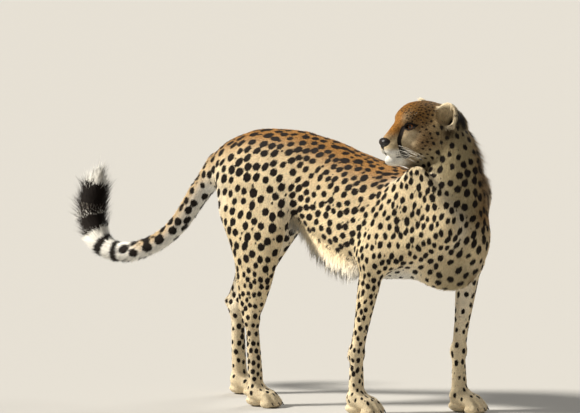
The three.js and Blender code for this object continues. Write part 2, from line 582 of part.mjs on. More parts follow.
const CLAW_RADIUS = 3, CLAW_ROOT = 3, CLAW_LENGTH = 17, CLAW_LEAN = THREE.MathUtils.degToRad(-116);
// A claw's cone, with its tip ahead and down, and its root inside the toe.
function claw({ side, knuckle }, toe, s, grow) {
  const [, , tip] = toeLine(knuckle, toe, s), length = CLAW_LENGTH + grow;
  const g = new THREE.ConeGeometry(CLAW_RADIUS + grow, length, 6).translate(0, length / 2 - CLAW_ROOT, 0);
  return solidOf(g.rotateZ(CLAW_LEAN).translate(tip[0] + 6 * s, tip[1] * side, 15 * s));
}
for (const [name, [discs, y0, y1]] of Object.entries(LEG_REGIONS)) {
  const [low, high] = LEG_BOXES[name], [bones, s] = FOOT[name], inRegion = plate(discs, y0, y1, -GAP / 2);
  const between = (k, from, to, step, flat) => {
    const spare = CELLS_OVER * step[2];
    const whole = cast(torsoAndNeck, [...low, from - spare], [...high, to + spare], mul(step, k), flat);
    return whole.trimByPlane([0, 0, 1], from).trimByPlane([0, 0, -1], GAP - to).intersect(inRegion);
  };
  put(name + "_leg", firstSound((k) => between(k, KNEE, WITHERS, [20, 16, 22], 4.6)), COLOUR.fur);
  put(name + "_shin", firstSound((k) => between(k, ANKLE, KNEE, [11, 10, 20], 2.2)), COLOUR.fur);
  const holes = TOES.map((toe) => claw(bones, toe, s, GAP)).reduce((all, one) => all.add(one));
  put(name + "_paw", firstSound((k) => between(k, 0, ANKLE, [7, 6, 8], 2.5).subtract(holes)), COLOUR.fur);
  TOES.forEach((toe, i) => put(name + "_claw_" + (i + 1), claw(bones, toe, s, 0), COLOUR.dark, 0.4));
}

// ---------- trunk, neck and tail ----------
const NECK_CUT = { point: [300, 0, 588], normal: [0.5, 0, 0.87] };
const HEAD_CLEARANCE = 2.5;
const roomy = solidOf(surface(headAndNeck, HEAD_LOW, HEAD_HIGH, cube(10), HEAD_CLEARANCE));
const headRoom = beyond(roomy, CUT_POINT, CUT_NORMAL);
const legRooms = Object.values(LEG_REGIONS).map((region) => plate(...region, GAP / 2));
const others = legRooms.reduce((all, one) => all.add(one), headRoom);
const backwards = (v) => mul(v, -1);
const TAIL_CUTS = [0.13, 0.42, 0.68]; // shares of the tail's length where it is parted, square to its line
const tailCuts = TAIL_CUTS.map((t) => {
  const i = Math.round(t * (TAIL_CURVE.line.length - 1));
  return { point: TAIL_CURVE.line[i].slice(0, 3), normal: TAIL_CURVE.tangent[i] };
});
put("trunk", firstSound((k) => {
  const whole = cast(torsoAndNeck, [-480, -160, 300], [470, 160, 790], mul([26, 20, 22], k), 6.5);
  const front = beyond(whole.subtract(others), NECK_CUT.point, backwards(NECK_CUT.normal), GAP);
  return beyond(front, tailCuts[0].point, backwards(tailCuts[0].normal));
}), COLOUR.fur);
put("neck", firstSound((k) => {
  const whole = cast(body, [190, -120, 470], [440, 130, 800], mul([16, 16, 18], k), 4);
  return beyond(whole, NECK_CUT.point, NECK_CUT.normal).subtract(others);
}), COLOUR.fur);
tailCuts.forEach((from, i) => {
  const to = tailCuts[i + 1];
  put("tail_" + (i + 1), firstSound((k) => {
    const whole = cast(torso, [-830, -70, 310], [-330, 70, 690], mul([14, 10, 13], k), 2.8);
    const piece = beyond(whole, from.point, from.normal, GAP);
    return to ? beyond(piece, to.point, backwards(to.normal)) : piece;
  }), COLOUR.fur);
});
export default root;
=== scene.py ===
"""A standing cheetah, life size, as a museum model.

One skin has the markings. Over it lies a coat of solid tufts, with eyes, nose leather, claws and whiskers.
"""

import bpy
import numpy as np
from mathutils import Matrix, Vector


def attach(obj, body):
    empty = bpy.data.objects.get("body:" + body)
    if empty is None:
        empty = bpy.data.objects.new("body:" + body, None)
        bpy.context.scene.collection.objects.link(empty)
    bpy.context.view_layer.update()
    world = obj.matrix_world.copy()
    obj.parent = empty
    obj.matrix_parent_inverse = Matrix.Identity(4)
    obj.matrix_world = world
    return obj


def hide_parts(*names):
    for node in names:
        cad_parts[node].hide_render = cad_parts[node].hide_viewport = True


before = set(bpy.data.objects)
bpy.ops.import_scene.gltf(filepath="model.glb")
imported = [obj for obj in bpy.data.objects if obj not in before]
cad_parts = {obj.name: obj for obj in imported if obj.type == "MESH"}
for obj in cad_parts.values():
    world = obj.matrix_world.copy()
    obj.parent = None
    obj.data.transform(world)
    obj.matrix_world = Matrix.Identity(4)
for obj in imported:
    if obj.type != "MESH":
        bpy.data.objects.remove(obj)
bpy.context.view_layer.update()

SHIFT = np.array((182.64, 1.12, 0.0))  # from the body's own frame to the frame of the model, in millimetres
CHANCE = np.random.default_rng(7)


# ---------- small maths on arrays of points, in millimetres in the body's own frame ----------
def unit(v):
    """Vectors made one long."""
    v = np.asarray(v, float)
    return v / (np.linalg.norm(v, axis=-1, keepdims=True) + 1e-12)


def smin(a, b, k):
    """Smooth minimum: joins two shapes with a fillet about k wide."""
    h = np.maximum(k - np.abs(a - b), 0) / k
    return np.minimum(a, b) - h * h * k * 0.25


def smax(a, b, k):
    """Smooth maximum: cuts one shape with another and rounds the edge."""
    return -smin(-a, -b, k)


def ramp(v, start, end):
    """0 before start, 1 after end, smooth between."""
    t = np.clip((v - start) / (end - start), 0, 1)
    return t * t * (3 - 2 * t)


def egg(x, y, z, rx, ry, rz):
    """Distance from an ellipsoid at the middle, near enough close to its surface."""
    a, b, c = x / rx, y / ry, z / rz
    k0 = np.sqrt(a * a + b * b + c * c)
    k1 = np.sqrt((a / rx) ** 2 + (b / ry) ** 2 + (c / rz) ** 2) + 1e-9
    return k0 * (k0 - 1) / k1


def ball(p, middle, r):
    """Distance from a ball, or from an ellipsoid where r is three numbers."""
    q = p - np.asarray(middle, float)
    if np.ndim(r) == 0:
        return np.linalg.norm(q, axis=1) - r
    return egg(q[:, 0], q[:, 1], q[:, 2], *r)


def limb(p, a, b, ra, rb):
    """Ellipse swept from a to b; ra and rb are depth and width, and width lies along Y."""
    a, b = np.asarray(a, float), np.asarray(b, float)
    length = np.linalg.norm(b - a)
    w = (b - a) / length
    v = unit(np.array((0, 1, 0)) - w * w[1])
    u = np.cross(v, w)
    rel = p - a
    s = rel @ w
    t = np.clip(s / length, 0, 1)
    ru = ra[0] + (rb[0] - ra[0]) * t
    rv = ra[1] + (rb[1] - ra[1]) * t
    return egg(rel @ u, rel @ v, s - t * length, ru, rv, 0.5 * (ru + rv))


def spline(rows, n):
    """Smooth curve through rows of numbers, n steps a span."""
    P = np.asarray(rows, float)
    P = np.vstack([2 * P[0] - P[1], P, 2 * P[-1] - P[-2]])
    out = []
    for i in range(1, len(P) - 2):
        a, b, c, d = P[i - 1:i + 3]
        for t in np.arange(n) / n:
            out.append(0.5 * (2 * b + (c - a) * t + (2 * a - 5 * b + 4 * c - d) * t ** 2
                              + (3 * b - a - 3 * c + d) * t ** 3))
    out.append(P[-2])
    return np.array(out)


def tangents(line):
    """Way of a line at each of its points."""
    after, before = np.vstack([line[1:], line[-1:]]), np.vstack([line[:1], line[:-1]])
    return unit((after - before)[:, :3])


def nearest_on(p, line):
    """The span of a line nearest to each point, and how far along that span."""
    best, place, share = np.full(len(p), np.inf), np.zeros(len(p), int), np.zeros(len(p))
    for i in range(len(line) - 1):
        span = line[i + 1, :3] - line[i, :3]
        rel = p - line[i, :3]
        t = np.clip(rel @ span / (span @ span), 0, 1)
        d = ((rel - t[:, None] * span) ** 2).sum(1)
        near = d < best
        best[near], place[near], share[near] = d[near], i, t[near]
    return place, share[:, None]


def sweep(p, line):
    """Ellipse carried along a line of rows x, y, z, depth, width, measured at the nearest place on it."""
    place, t = nearest_on(p, line)
    tangent = tangents(line)
    w = unit(tangent[place] * (1 - t) + tangent[place + 1] * t)
    row = line[place] * (1 - t) + line[place + 1] * t
    v = unit(np.array((0, 1, 0)) - w * w[:, 1:2])
    u = np.cross(v, w)
    rel = p - row[:, :3]
    ru, rv = row[:, 3], row[:, 4]
    return egg((rel * u).sum(1), (rel * v).sum(1), (rel * w).sum(1), ru, rv, 0.5 * (ru + rv))


def along(table, s):
    """Rows of a fine table at places along its first column."""
    return [np.interp(s, table[:, 0], column) for column in table.T[1:]]


def upright(p, table):
    """Level ellipses, from rows z, x, y, depth, width."""
    x, y, depth, width = along(table, p[:, 2])
    z = np.clip(p[:, 2], table[0, 0], table[-1, 0])
    return egg(p[:, 0] - x, p[:, 1] - y, p[:, 2] - z, depth, width, 0.5 * (depth + width))


# ---------- trunk: rows x, top, underside, half width ----------
TRUNK = spline([
    (-366, 642, 552, 34), (-330, 678, 512, 62), (-280, 701, 490, 78), (-224, 715, 482, 84),
    (-120, 715, 458, 78), (-60, 704, 392, 76), (0, 689, 352, 84), (60, 667, 338, 93),
    (150, 641, 338, 98), (240, 620, 343, 92), (320, 592, 352, 78), (362, 562, 364, 62), (388, 528, 388, 42),
], 6)


def trunk(p):
    top, under, half = along(TRUNK, p[:, 0])
    x = np.clip(p[:, 0], TRUNK[0, 0], TRUNK[-1, 0])
    middle, high = 0.5 * (top + under), 0.5 * (top - under)
    wide = half * (1 + 0.08 * np.clip((p[:, 2] - middle) / high, -1.2, 1.2))
    return egg(p[:, 2] - middle, p[:, 1], p[:, 0] - x, high, wide, 0.33 * (half + high))


# ---------- neck and breast: rows z, x, y, depth, width ----------
NECK = spline([
    (395, 318, 0, 84, 58), (455, 318, 0, 98, 66), (520, 322, 0, 95, 70), (572, 328, 4, 87, 74),
    (620, 330, 8, 79, 74), (665, 329, 11, 71, 70), (705, 322, 11, 61, 64), (738, 308, 7, 55, 60),
], 6)


def neck(p):
    return upright(p, NECK)


# ---------- feet and legs; y counts outwards from the middle of the body ----------
TOES = ((-24, 0), (-8.6, 12), (8.6, 12), (24, 0))  # across, ahead
FORE_PAW, HIND_PAW = 1.0, 0.94


def toe_line(knuckle, toe, size):
    """Rows x, y, z, depth, width of a toe, from its root to its tip."""
    across, ahead = toe
    rows = ((10 + ahead * 0.5, across * 0.8, 38, 15, 11.5), (36 + ahead, across, 30, 14.5, 11),
            (54 + ahead, across * 1.06, 14, 12.5, 10.5))
    return np.array(rows) * size + (knuckle[0], knuckle[1], 0, 0, 0)


def paw(q, knuckle, size):
    knuckle = np.asarray(knuckle, float)
    d = ball(q, knuckle + (2, 0, -6), (27 * size, 29 * size, 25 * size))
    d = smin(d, ball(q, (knuckle[0] + 2, knuckle[1], 15), (32 * size, 27 * size, 17 * size)), 10)
    for toe in TOES:
        line = toe_line(knuckle, toe, size)
        sole = ball(q, (line[2, 0] - 10 * size, line[2, 1], 10), (17 * size, 10.5 * size, 12 * size))
        d = smin(d, smin(sweep(q, spline(line, 2)), sole, 6), 12)
    return d


def foreleg(p, side, blade, shoulder, elbow, carpus, knuckle):
    q = p * (1, side, 1)
    blade, shoulder, elbow, carpus, knuckle = map(np.array, (blade, shoulder, elbow, carpus, knuckle))

    def bone(t):
        return elbow * (1 - t) + carpus * t

    forearm = spline([(*(elbow + (2, 0, 10)), 38, 28), (*bone(0.28), 32, 25), (*bone(0.7), 22, 20),
                      (*carpus, 19, 20)], 3)
    d = limb(q, blade, shoulder + (-6, 0, 10), (36, 15), (42, 26))
    flat = limb(q, blade + (-34, -6, -30), elbow * 0.35 + shoulder * 0.65 + (-20, 0, 20), (36, 16), (44, 26))
    d = smin(smin(d, flat, 24), limb(q, shoulder, elbow, (40, 30), (38, 29)), 30)
    d = smin(d, limb(q, blade + (-40, 0, -90), elbow + (-2, 0, 14), (50, 22), (36, 26)), 28)
    d = smin(d, smin(sweep(q, forearm), ball(q, elbow + (-26, 0, 8), (15, 13, 18)), 14), 22)
    wrist = smin(ball(q, carpus, (21, 21, 24)), ball(q, carpus + (-16, 3, -12), (9, 8, 11)), 8)
    d = smin(d, wrist, 12)
    d = smin(d, limb(q, carpus, knuckle + (0, 0, 2), (17.5, 19), (20, 25)), 10)
    return smin(d, paw(q, knuckle, FORE_PAW), 14)


THIGH = ((560, 52, 114, 38), (505, 66, 110, 38), (454, 78, 92, 37), (409, 84, 75, 34),
         (370, 87, 63, 31), (316, 88, 52, 27), (264, 88, 34, 22), (228, 88, 21, 18))  # z, y, depth, width


def hindleg(p, side, centres, heel, knuckle):
    q = p * (1, side, 1)
    table = spline([(z, x, y, depth, width) for (z, y, depth, width), x in zip(THIGH, centres)], 5)[::-1]
    hock, heel, knuckle = np.array((centres[7], 88, 228)), np.array(heel), np.array(knuckle)
    d = upright(q, table)
    d = smin(d, limb(q, (centres[5] - 28, 88, 318), heel, (18, 12), (12, 12)), 18)
    d = smin(d, limb(q, heel, hock + (-2, 0, -12), (13, 13), (20, 18)), 10)
    d = smin(d, ball(q, hock, (22, 20, 25)), 10)
    d = smin(d, limb(q, hock, knuckle + (0, 0, 2), (18.5, 18), (19, 24)), 10)
    return smin(d, paw(q, knuckle, HIND_PAW), 14)


RIGHT_FORE = dict(side=-1, blade=(262, 84, 620), shoulder=(350, 72, 490), elbow=(144, 84, 396),
                  carpus=(97, 86, 158), knuckle=(97, 88, 44))
LEFT_FORE = dict(side=1, blade=(262, 72, 618), shoulder=(360, 62, 556), elbow=(334, 82, 396),
                 carpus=(302, 84, 158), knuckle=(304, 86, 44))
RIGHT_HIND = dict(side=-1, centres=(-222, -216, -208, -203, -202, -206, -208, -213),
                  heel=(-238, 88, 258), knuckle=(-200, 88, 42))
LEFT_HIND = dict(side=1, centres=(-222, -232, -246, -266, -284, -312, -338, -360),
                 heel=(-384, 88, 244), knuckle=(-354, 88, 42))

# ---------- tail: rows x, y, z, depth, width ----------
TAIL_STEPS = 4  # steps of the curve in one row
TAIL = spline([
    (-330, 0, 622, 42, 40), (-366, 0, 602, 37, 36), (-402, 0, 562, 33, 32), (-434, 0, 522, 30, 30),
    (-475, 0, 465, 27, 27), (-520, 0, 421, 26, 26), (-568, 0, 392, 25.5, 25.5), (-628, 0, 371, 26, 26),
    (-682, 0, 370, 28, 28), (-722, 0, 388, 32, 31), (-746, 0, 430, 38, 36), (-752, 0, 487, 46, 43),
    (-744, 0, 530, 42, 40), (-732, 0, 566, 24, 24), (-724, 0, 590, 7, 7)], TAIL_STEPS)


def tail(p):
    return sweep(p, TAIL)


# ---------- head, in its own frame: ahead from the tip of the nose, left, up ----------
NOSE_TIP = np.array((185.0, -118.0, 705.0))
HEADING, PITCH = np.radians((235, -2))
FORWARD = np.array((np.cos(HEADING) * np.cos(PITCH), np.sin(HEADING) * np.cos(PITCH), np.sin(PITCH)))
LEFT = unit(np.cross((0, 0, 1), FORWARD))
HEAD_AXES = np.array((FORWARD, LEFT, np.cross(FORWARD, LEFT)))
EYE, EYE_RADIUS = np.array((-79.0, 27.0, 38.0)), 15.5
GAZE = unit((0.86, 0.5, 0.04))


def in_head(p):
    return (p - NOSE_TIP) @ HEAD_AXES.T


def from_head(h):
    return NOSE_TIP + np.asarray(h, float) @ HEAD_AXES


def mirrored(h):
    """Places on the head as if they were all on its left side."""
    return np.stack((h[:, 0], np.abs(h[:, 1]), h[:, 2]), 1)


def skull(h):
    m = mirrored(h)
    d = ball(h, (-128, 0, 44), (66, 57, 56))
    d = smin(d, ball(h, (-92, 0, 60), (36, 36, 34)), 20)
    d = smin(d, ball(m, (-74, 23, 57), (20, 17, 17)), 14)
    d = smin(d, ball(m, (-112, 40, -4), (42, 30, 36)), 26)
    d = smin(d, ball(m, (-150, 28, 8), (42, 44, 50)), 24)
    d = smin(d, limb(m, (-132, 34, -14), (-38, 9, -46), (26, 20), (16, 13)), 16)
    bridge = limb(h, (-15, 0, 4), (-80, 0, 54), (12, 13), (26, 22))
    muzzle = limb(h, (-27, 0, -12), (-90, 0, 8), (21, 24), (44, 42))
    d = smin(d, smin(bridge, muzzle, 18), 18)
    d = smin(d, ball(m, (-74, 28, 20), (22, 17, 16)), 14)
    d = smin(d, limb(h, (-70, 0, -42), (-165, 0, -80), (24, 24), (40, 38)), 20)
    lip = ball(m, (-27, 14, -18), (21, 17, 18))
    chin = ball(h, (-29, 0, -48), (19, 16, 14))
    d = smin(d, smin(lip, chin, 8), 9)
    return smin(d, ball(m, EYE, EYE_RADIUS + 2.2), 7)


def nose_leather(h):
    d = ball(h, (-8.5, 0, 1), (10.5, 15, 10.5))
    d = smin(d, ball(mirrored(h), (-9, 9, 1), (8.5, 7.5, 9)), 5)
    return smin(d, ball(h, (-8, 0, -10), (8, 5, 8)), 6)


# ---------- the whole outline ----------
LEGS = ("fore_right", "fore_left", "hind_right", "hind_left")
PARTS = {  # function, lowest corner, highest corner, blend
    "fore_right": (lambda p: foreleg(p, **RIGHT_FORE), (50, -125, -20), (400, -40, 670), 44),
    "fore_left": (lambda p: foreleg(p, **LEFT_FORE), (180, 35, -20), (425, 125, 670), 44),
    "hind_right": (lambda p: hindleg(p, **RIGHT_HIND), (-340, -130, -20), (-100, -10, 670), 34),
    "hind_left": (lambda p: hindleg(p, **LEFT_HIND), (-405, 10, -20), (-100, 130, 670), 34),
    "tail": (tail, (-805, -50, 335), (-280, 50, 670), 24),
    "neck": (neck, (215, -80, 330), (425, 90, 800), 46),
    "head": (lambda p: skull(in_head(p)), (160, -160, 600), (390, 130, 840), 26),
}
REACH = 60  # further than any blend, so a part this far off need not be worked out


def distances(p):
    """Distance from each part, or a rough one where it is far away."""
    out = {"trunk": trunk(p)}
    for name, (shape, low, high, _) in PARTS.items():
        far = np.linalg.norm(np.maximum(np.maximum(np.array(low) - p, p - np.array(high)), 0), axis=1)
        d = far + 5
        near = far < REACH
        if near.any():
            d[near] = shape(p[near])
        out[name] = d
    return out


def outline(d):
    """The animal out to the tips of its coat, negative inside, from the distances of its parts."""
    torso = d["trunk"]
    for name in (*LEGS, "tail", "neck"):
        torso = smin(torso, d[name], PARTS[name][3])
    return np.minimum(torso, smin(d["head"], d["neck"], PARTS["head"][3]))


# ---------- ears, lids, lips and nostrils ----------
def frame_of(opening, tip):
    """Axes of an ear: towards its tip, across, and out of its opening."""
    out = unit(opening)
    up = unit(np.array(tip) - out * (np.array(tip) @ out))
    return np.array((up, np.cross(up, out), out))


EARS = {  # side, middle, axes
    "left": (1, np.array((-161, 57, 60)), frame_of((0.86, 0.5, 0.05), (-0.05, 0.25, 0.95))),
    "right": (-1, np.array((-143, 56, 63)), frame_of((0.9, 0.42, 0.05), (0.15, 0.35, 0.95))),
}
EAR_SIZE, EAR_HOLLOW = (35, 29, 25), (30.5, 24.5, 24)  # half length, half width, depth
EAR_FOOT = -34  # an ear's lowest place, along its own length


def in_ear(h, name):
    """Places in an ear's own frame: towards its tip, across, and out of its opening."""
    side, middle, axes = EARS[name]
    return (h * (1, side, 1) - middle) @ axes.T


def hollow(h, name):
    """Distance from the bowl of an ear, which also reaches into the head before it; negative inside."""
    q = in_ear(h, name)
    return egg(q[:, 0] + 1, q[:, 1], q[:, 2] - 6.5, *EAR_HOLLOW)


def ear(h, name):
    q = in_ear(h, name)
    rim = q[:, 2] - 2 - 5 * (q[:, 1] / EAR_SIZE[1]) ** 2
    return smax(smax(egg(*q.T, *EAR_SIZE), -hollow(h, name), 3), rim, 3)


LID_ACROSS = unit(np.cross((0, 0, 1), GAZE) + (0, 0, 0.12))
LID_ACROSS = unit(LID_ACROSS - GAZE * (LID_ACROSS @ GAZE))
LID_UP = np.cross(GAZE, LID_ACROSS)
LID_HALF_WIDE, LID_HALF_HIGH = 14.5, 6.2
MOUTH = spline([(-13, 2, -27), (-20, 9, -33), (-34, 17, -37), (-50, 24, -36), (-64, 30, -31)], 4)
CLEFT = np.array([(-4, 0, -10), (-8, 0, -20), (-13, 0, -28.0)])


def leather(h):
    """The nose leather, with the wings of the nostrils."""
    return smin(nose_leather(h), ball(mirrored(h), (-15.5, 11, -1), (9.5, 6.5, 7.5)), 5)


def lid_opening(m):
    """Distance from the almond between the lids, across the gaze; negative between them."""
    a, b = (m - EYE) @ LID_ACROSS, (m - EYE) @ LID_UP
    return np.abs(b) - LID_HALF_HIGH * (1 - (a / LID_HALF_WIDE) ** 2)


def from_line(p, line):
    """Distance from a thin line."""
    place, t = nearest_on(p, line)
    return np.linalg.norm(p - (line[place, :3] * (1 - t) + line[place + 1, :3] * t), axis=1)


def face(p, d):
    """The head's skin with its ears, eye openings, mouth and nostrils."""
    h = in_head(p)
    for name in EARS:
        near = np.linalg.norm(in_ear(h, name), axis=1) < 75
        d[near] = smax(smin(d[near], ear(h[near], name), 8), -hollow(h[near], name), 3)
    front = h[:, 0] > -130
    if front.any():
        g, e = h[front], d[front]
        m = mirrored(g)
        r = np.linalg.norm(m - EYE, axis=1)
        brow = limb(m, (-68, 14, 55), (-96, 42, 50), (6, 9), (5, 7))
        e = smin(e, brow, 9)
        lids = smax(smax(lid_opening(m), r - 22, 2), 3 - (m - EYE) @ GAZE, 1)
        e = smax(e, -lids, 1.5)
        e = smax(e, EYE_RADIUS + 0.2 - r, 0.5)
        e = smax(e, 1.7 - from_line(m, MOUTH), 2.5)
        e = smax(e, 1.6 - from_line(m, CLEFT), 2.5)
        seat = leather(g)
        e = smax(e, 0.2 - seat, 1)
        d[front] = e
    return d


# ---------- depth of the coat ----------
NAPE = -FORWARD


def on_nape(p, start, end, low, high):
    """1 on the back of the neck, between a depth and a height where that starts and is full."""
    return ramp((p - (330, 10, 650)) @ NAPE, start, end) * ramp(p[:, 2], low, high)


def height_share(p):
    """How high a place is on the trunk, from 0 at its underside to 1 at its top."""
    top, under, _ = along(TRUNK, p[:, 0])
    return (p[:, 2] - under) / (top - under)


def shares(d):
    """How far each part has a say at a place, from the distances."""
    stack = np.stack(list(d.values()))
    say = np.exp(-np.maximum(stack - stack.min(0), 0) / 12)
    return dict(zip(d, say / say.sum(0)))


def by_part(say, table):
    """Values at places: each part's own, by its say there. Legs may share an entry, as may each pair."""
    out = 0
    for part, share in say.items():
        own = table.get(part, table.get(part[:4], table.get("leg")))
        out = out + own * (share[:, None] if np.ndim(own) == 2 else share)
    return out


def fringe(p):
    """1 in the long fur under the belly."""
    top, under, _ = along(TRUNK, p[:, 0])
    low = ramp((top + under) / 2 - p[:, 2], 0.18 * (top - under), 0.46 * (top - under))
    return low * ramp(p[:, 0], -190, -90) * ramp(-p[:, 0], -130, -20)


def tail_place(p):
    """Place along the tail, counted in rows of its table."""
    place, t = nearest_on(p, TAIL)
    return (place + t[:, 0]) / TAIL_STEPS


def coat_depth(p, say, tail_at):
    """How far the skin lies under the tips of the coat."""
    return by_part(say, {
        "trunk": 3.6 + 17 * fringe(p) + 2.5 * ramp(-p[:, 2], -470, -380),
        "neck": 5.0 + 5.0 * on_nape(p, 20, 60, 560, 640),
        "tail": 5.0 + 10.0 * ramp(tail_at, 8.8, 11.5),
        "head": 1.4 + 2.6 * ramp(-in_head(p)[:, 0], 70, 190),
        "leg": 1.5 + 2.0 * ramp(p[:, 2], 60, 330),
    })


def skin(p):
    """The skin under the coat, negative inside."""
    d = distances(p)
    tail_at = np.zeros(len(p))
    near = d["tail"] < 40
    tail_at[near] = tail_place(p[near])
    out = outline(d) + coat_depth(p, shares(d), tail_at)
    near = (d["head"] < 90) & (p[:, 2] > 560)
    if near.any():
        out[near] = face(p[near], out[near])
    return out


# ---------- surface nets on a grid that is finer over the head and the paws ----------
CELL = 7.0
AT_ONCE = 200000  # places worked out together
KEY_ROOM, KEY_STEP = 8, 4096  # for the three places of a cell in one number: what is added, and the base
FINE = [((155, -152, 632), (348, 112, 824), 4)]  # lowest corner, highest corner, cells in one coarse cell
FINE += [(low, high, 2) for low, high in (
    ((50, -135, -10), (200, -45, 80)), ((255, 40, -10), (405, 130, 80)),
    ((-245, -135, -10), (-105, -45, 80)), ((-400, 45, -10), (-260, 130, 80)))]


def sampled(shape, axes, block=8):
    """A shape's distances on a grid; blocks that are far from its surface get the value of their middle."""
    counts = [len(a) for a in axes]
    starts = [np.arange(0, n, block) for n in counts]
    ends = [np.minimum(s + block, n - 1) for s, n in zip(starts, counts)]
    middles = [(a[s] + a[e]) / 2 for a, s, e in zip(axes, starts, ends)]
    halves = [(a[e] - a[s]) / 2 for a, s, e in zip(axes, starts, ends)]
    centre = np.stack(np.meshgrid(*middles, indexing="ij"), -1)
    reach = np.sqrt(sum(g ** 2 for g in np.meshgrid(*halves, indexing="ij")))
    d = shape(centre.reshape(-1, 3)).reshape(centre.shape[:3])

    def spread(grid):
        for axis in range(3):
            grid = np.repeat(grid, block, axis)
        return grid[:counts[0], :counts[1], :counts[2]]

    out = spread(d).astype(np.float32)
    i, j, k = np.nonzero(spread(d < reach * 1.25 + 5))
    for a in range(0, len(i), AT_ONCE):
        s = slice(a, a + AT_ONCE)
        out[i[s], j[s], k[s]] = shape(np.stack((axes[0][i[s]], axes[1][j[s]], axes[2][k[s]]), 1))
    return out


def crossings(grid, axes, axis):
    """Where a grid's edges along one axis cross the surface: lower nodes, places, and whether from inside."""
    low, high = [slice(None)] * 3, [slice(None)] * 3
    low[axis], high[axis] = slice(0, -1), slice(1, None)
    a, b = grid[tuple(low)], grid[tuple(high)]
    node = np.stack(np.nonzero((a < 0) != (b < 0)), 1)
    da, db = a[tuple(node.T)].astype(float), b[tuple(node.T)].astype(float)
    place = np.stack([axes[i][node[:, i]] for i in range(3)], 1)
    place[:, axis] += (axes[axis][1] - axes[axis][0]) * da / (da - db)
    return node, place, da < 0


def surface(shape, low, high, fine):
    """Corners and triangles of a shape's surface, one corner in each cell that it crosses."""
    low = np.floor(np.array(low) / CELL).astype(int)
    high = np.ceil(np.array(high) / CELL).astype(int)
    boxes = [(np.maximum(np.floor(np.array(a) / CELL).astype(int), low) - low,
              np.minimum(np.ceil(np.array(b) / CELL).astype(int), high) - low, r) for a, b, r in fine]
    size = high - low
    owner = np.zeros(size + 2, np.int8)  # which grid has each coarse cell, with a rim of one cell
    for i, (a, b, _) in enumerate(boxes):
        owner[tuple(slice(a[n] + 1, b[n] + 1) for n in range(3))] = i + 1
    quads, places = [], []
    for i in range(len(boxes) + 1):
        a, b, r = boxes[i - 1] if i else (np.zeros(3, int), size, 1)
        axes = [(low[n] + a[n] + np.arange((b[n] - a[n]) * r + 1) / r) * CELL for n in range(3)]
        grid = sampled(shape, axes)
        for axis in range(3):
            u, v = (axis + 1) % 3, (axis + 2) % 3
            node, place, outwards = crossings(grid, axes, axis)
            corners, usable = [], np.ones(len(node), bool)
            for du, dv in ((-1, -1), (0, -1), (0, 0), (-1, 0)):
                cell = node.copy()
                cell[:, u] += du
                cell[:, v] += dv
                coarse = a + cell // r
                at = owner[tuple((coarse + 1).T)]
                if i == 0:
                    usable &= at == 0
                mine = at == i
                whole = np.where(mine[:, None], a * r + cell, coarse)
                key = np.where(mine, i, 0)
                for n in range(3):
                    key = key * KEY_STEP + whole[:, n] + KEY_ROOM
                corners.append(key)
            quad = np.stack(corners, 1)
            quad[~outwards] = quad[~outwards][:, ::-1]
            quads.append(quad[usable])
            places.append(place[usable])
    quads, places = np.vstack(quads), np.vstack(places)
    _, quads = np.unique(quads, return_inverse=True)
    quads = quads.reshape(-1, 4)
    whose = quads.ravel()
    corner = np.stack([np.bincount(whose, np.repeat(places[:, n], 4)) for n in range(3)], 1)
    corner /= np.bincount(whose)[:, None]
    a, b, c, d = quads.T
    one_way = np.linalg.norm(corner[a] - corner[c], axis=1)
    other_way = np.linalg.norm(corner[b] - corner[d], axis=1)
    short = (one_way < other_way)[:, None]
    triangles = np.vstack((np.where(short, np.stack((a, b, c), 1), np.stack((a, b, d), 1)),
                           np.where(short, np.stack((a, c, d), 1), np.stack((b, c, d), 1))))
    a, b, c = triangles.T
    return corner, triangles[(a != b) & (b != c) & (a != c)]


def slope(shape, p, step=0.6):
    """How fast a shape's distance grows along each axis."""
    return np.stack([(shape(p + s) - shape(p - s)) / (2 * step) for s in np.eye(3) * step], 1)


def settled(shape, p, most=3.0):
    """Points moved onto a surface, and its normals there."""
    g = slope(shape, p)
    move = shape(p)[:, None] * g / np.maximum((g * g).sum(1), 0.1)[:, None]
    length = np.linalg.norm(move, axis=1, keepdims=True)
    return p - move * np.minimum(1, most / np.maximum(length, 1e-9)), unit(g)


def onto_skin(h, most):
    """Places in the head's frame moved onto the skin, each time by no more than most."""
    p = from_head(h)
    for _ in range(2):
        p = settled(skin, p, most)[0]
    return in_head(p)


# ---------- colours and places of the markings ----------
def linear(red, green, blue):
    """A screen colour as the linear one that a shader takes."""
    c = np.array((red, green, blue)) / 255
    return np.where(c <= 0.04045, c / 12.92, ((c + 0.055) / 1.055) ** 2.4)


TAWNY, FLANK, BELLY = linear(162, 117, 62), linear(252, 231, 188), linear(252, 249, 240)
RUST, CROWN, CHEEK = linear(158, 107, 44), linear(137, 98, 48), linear(136, 108, 72)
# the throat's colour is painted darker than its own pale cream, as painted shade on the throat and neck
CREAM, THROAT_SHADED, WHITE = linear(244, 226, 190), linear(182, 166, 128), linear(250, 247, 238)
GREY, DARK = linear(150, 143, 132), linear(30, 23, 18)

TEARS = spline([(-64, 17, 38, 5.2), (-52, 22, 30, 6.2), (-43, 25, 17, 5.8), (-39, 27, 2, 5.4),
                (-43, 31, -16, 6.2), (-54, 33, -32, 10.5)], 4)  # rows ahead, left, up, half width
TEARS[:, :3] = onto_skin(TEARS[:, :3], 9)
TAIL_RINGS = ((5.95, 6.3), (7.85, 8.2), (8.75, 9.25), (10.0, 10.85), (11.15, 12.7))  # in rows of the tail
TAIL_ROW = 43  # about how long a row of the tail is where it has rings, in millimetres
SPOTS_END = 7.6  # row of the tail past which it has rings and no spots
WHISKER_ROWS = ((-12, -34, 4), (-18, -31, 5), (-24, -29, 5), (-29.5, -31, 4))  # up, ahead, how many
WHISKER_BACK, WHISKER_DOWN = 6.2, 0.6  # from one whisker to the next in a row
WHISKER_ROOTS = [(ahead - WHISKER_BACK * n, up - WHISKER_DOWN * n)
                 for up, ahead, count in WHISKER_ROWS for n in range(count)]
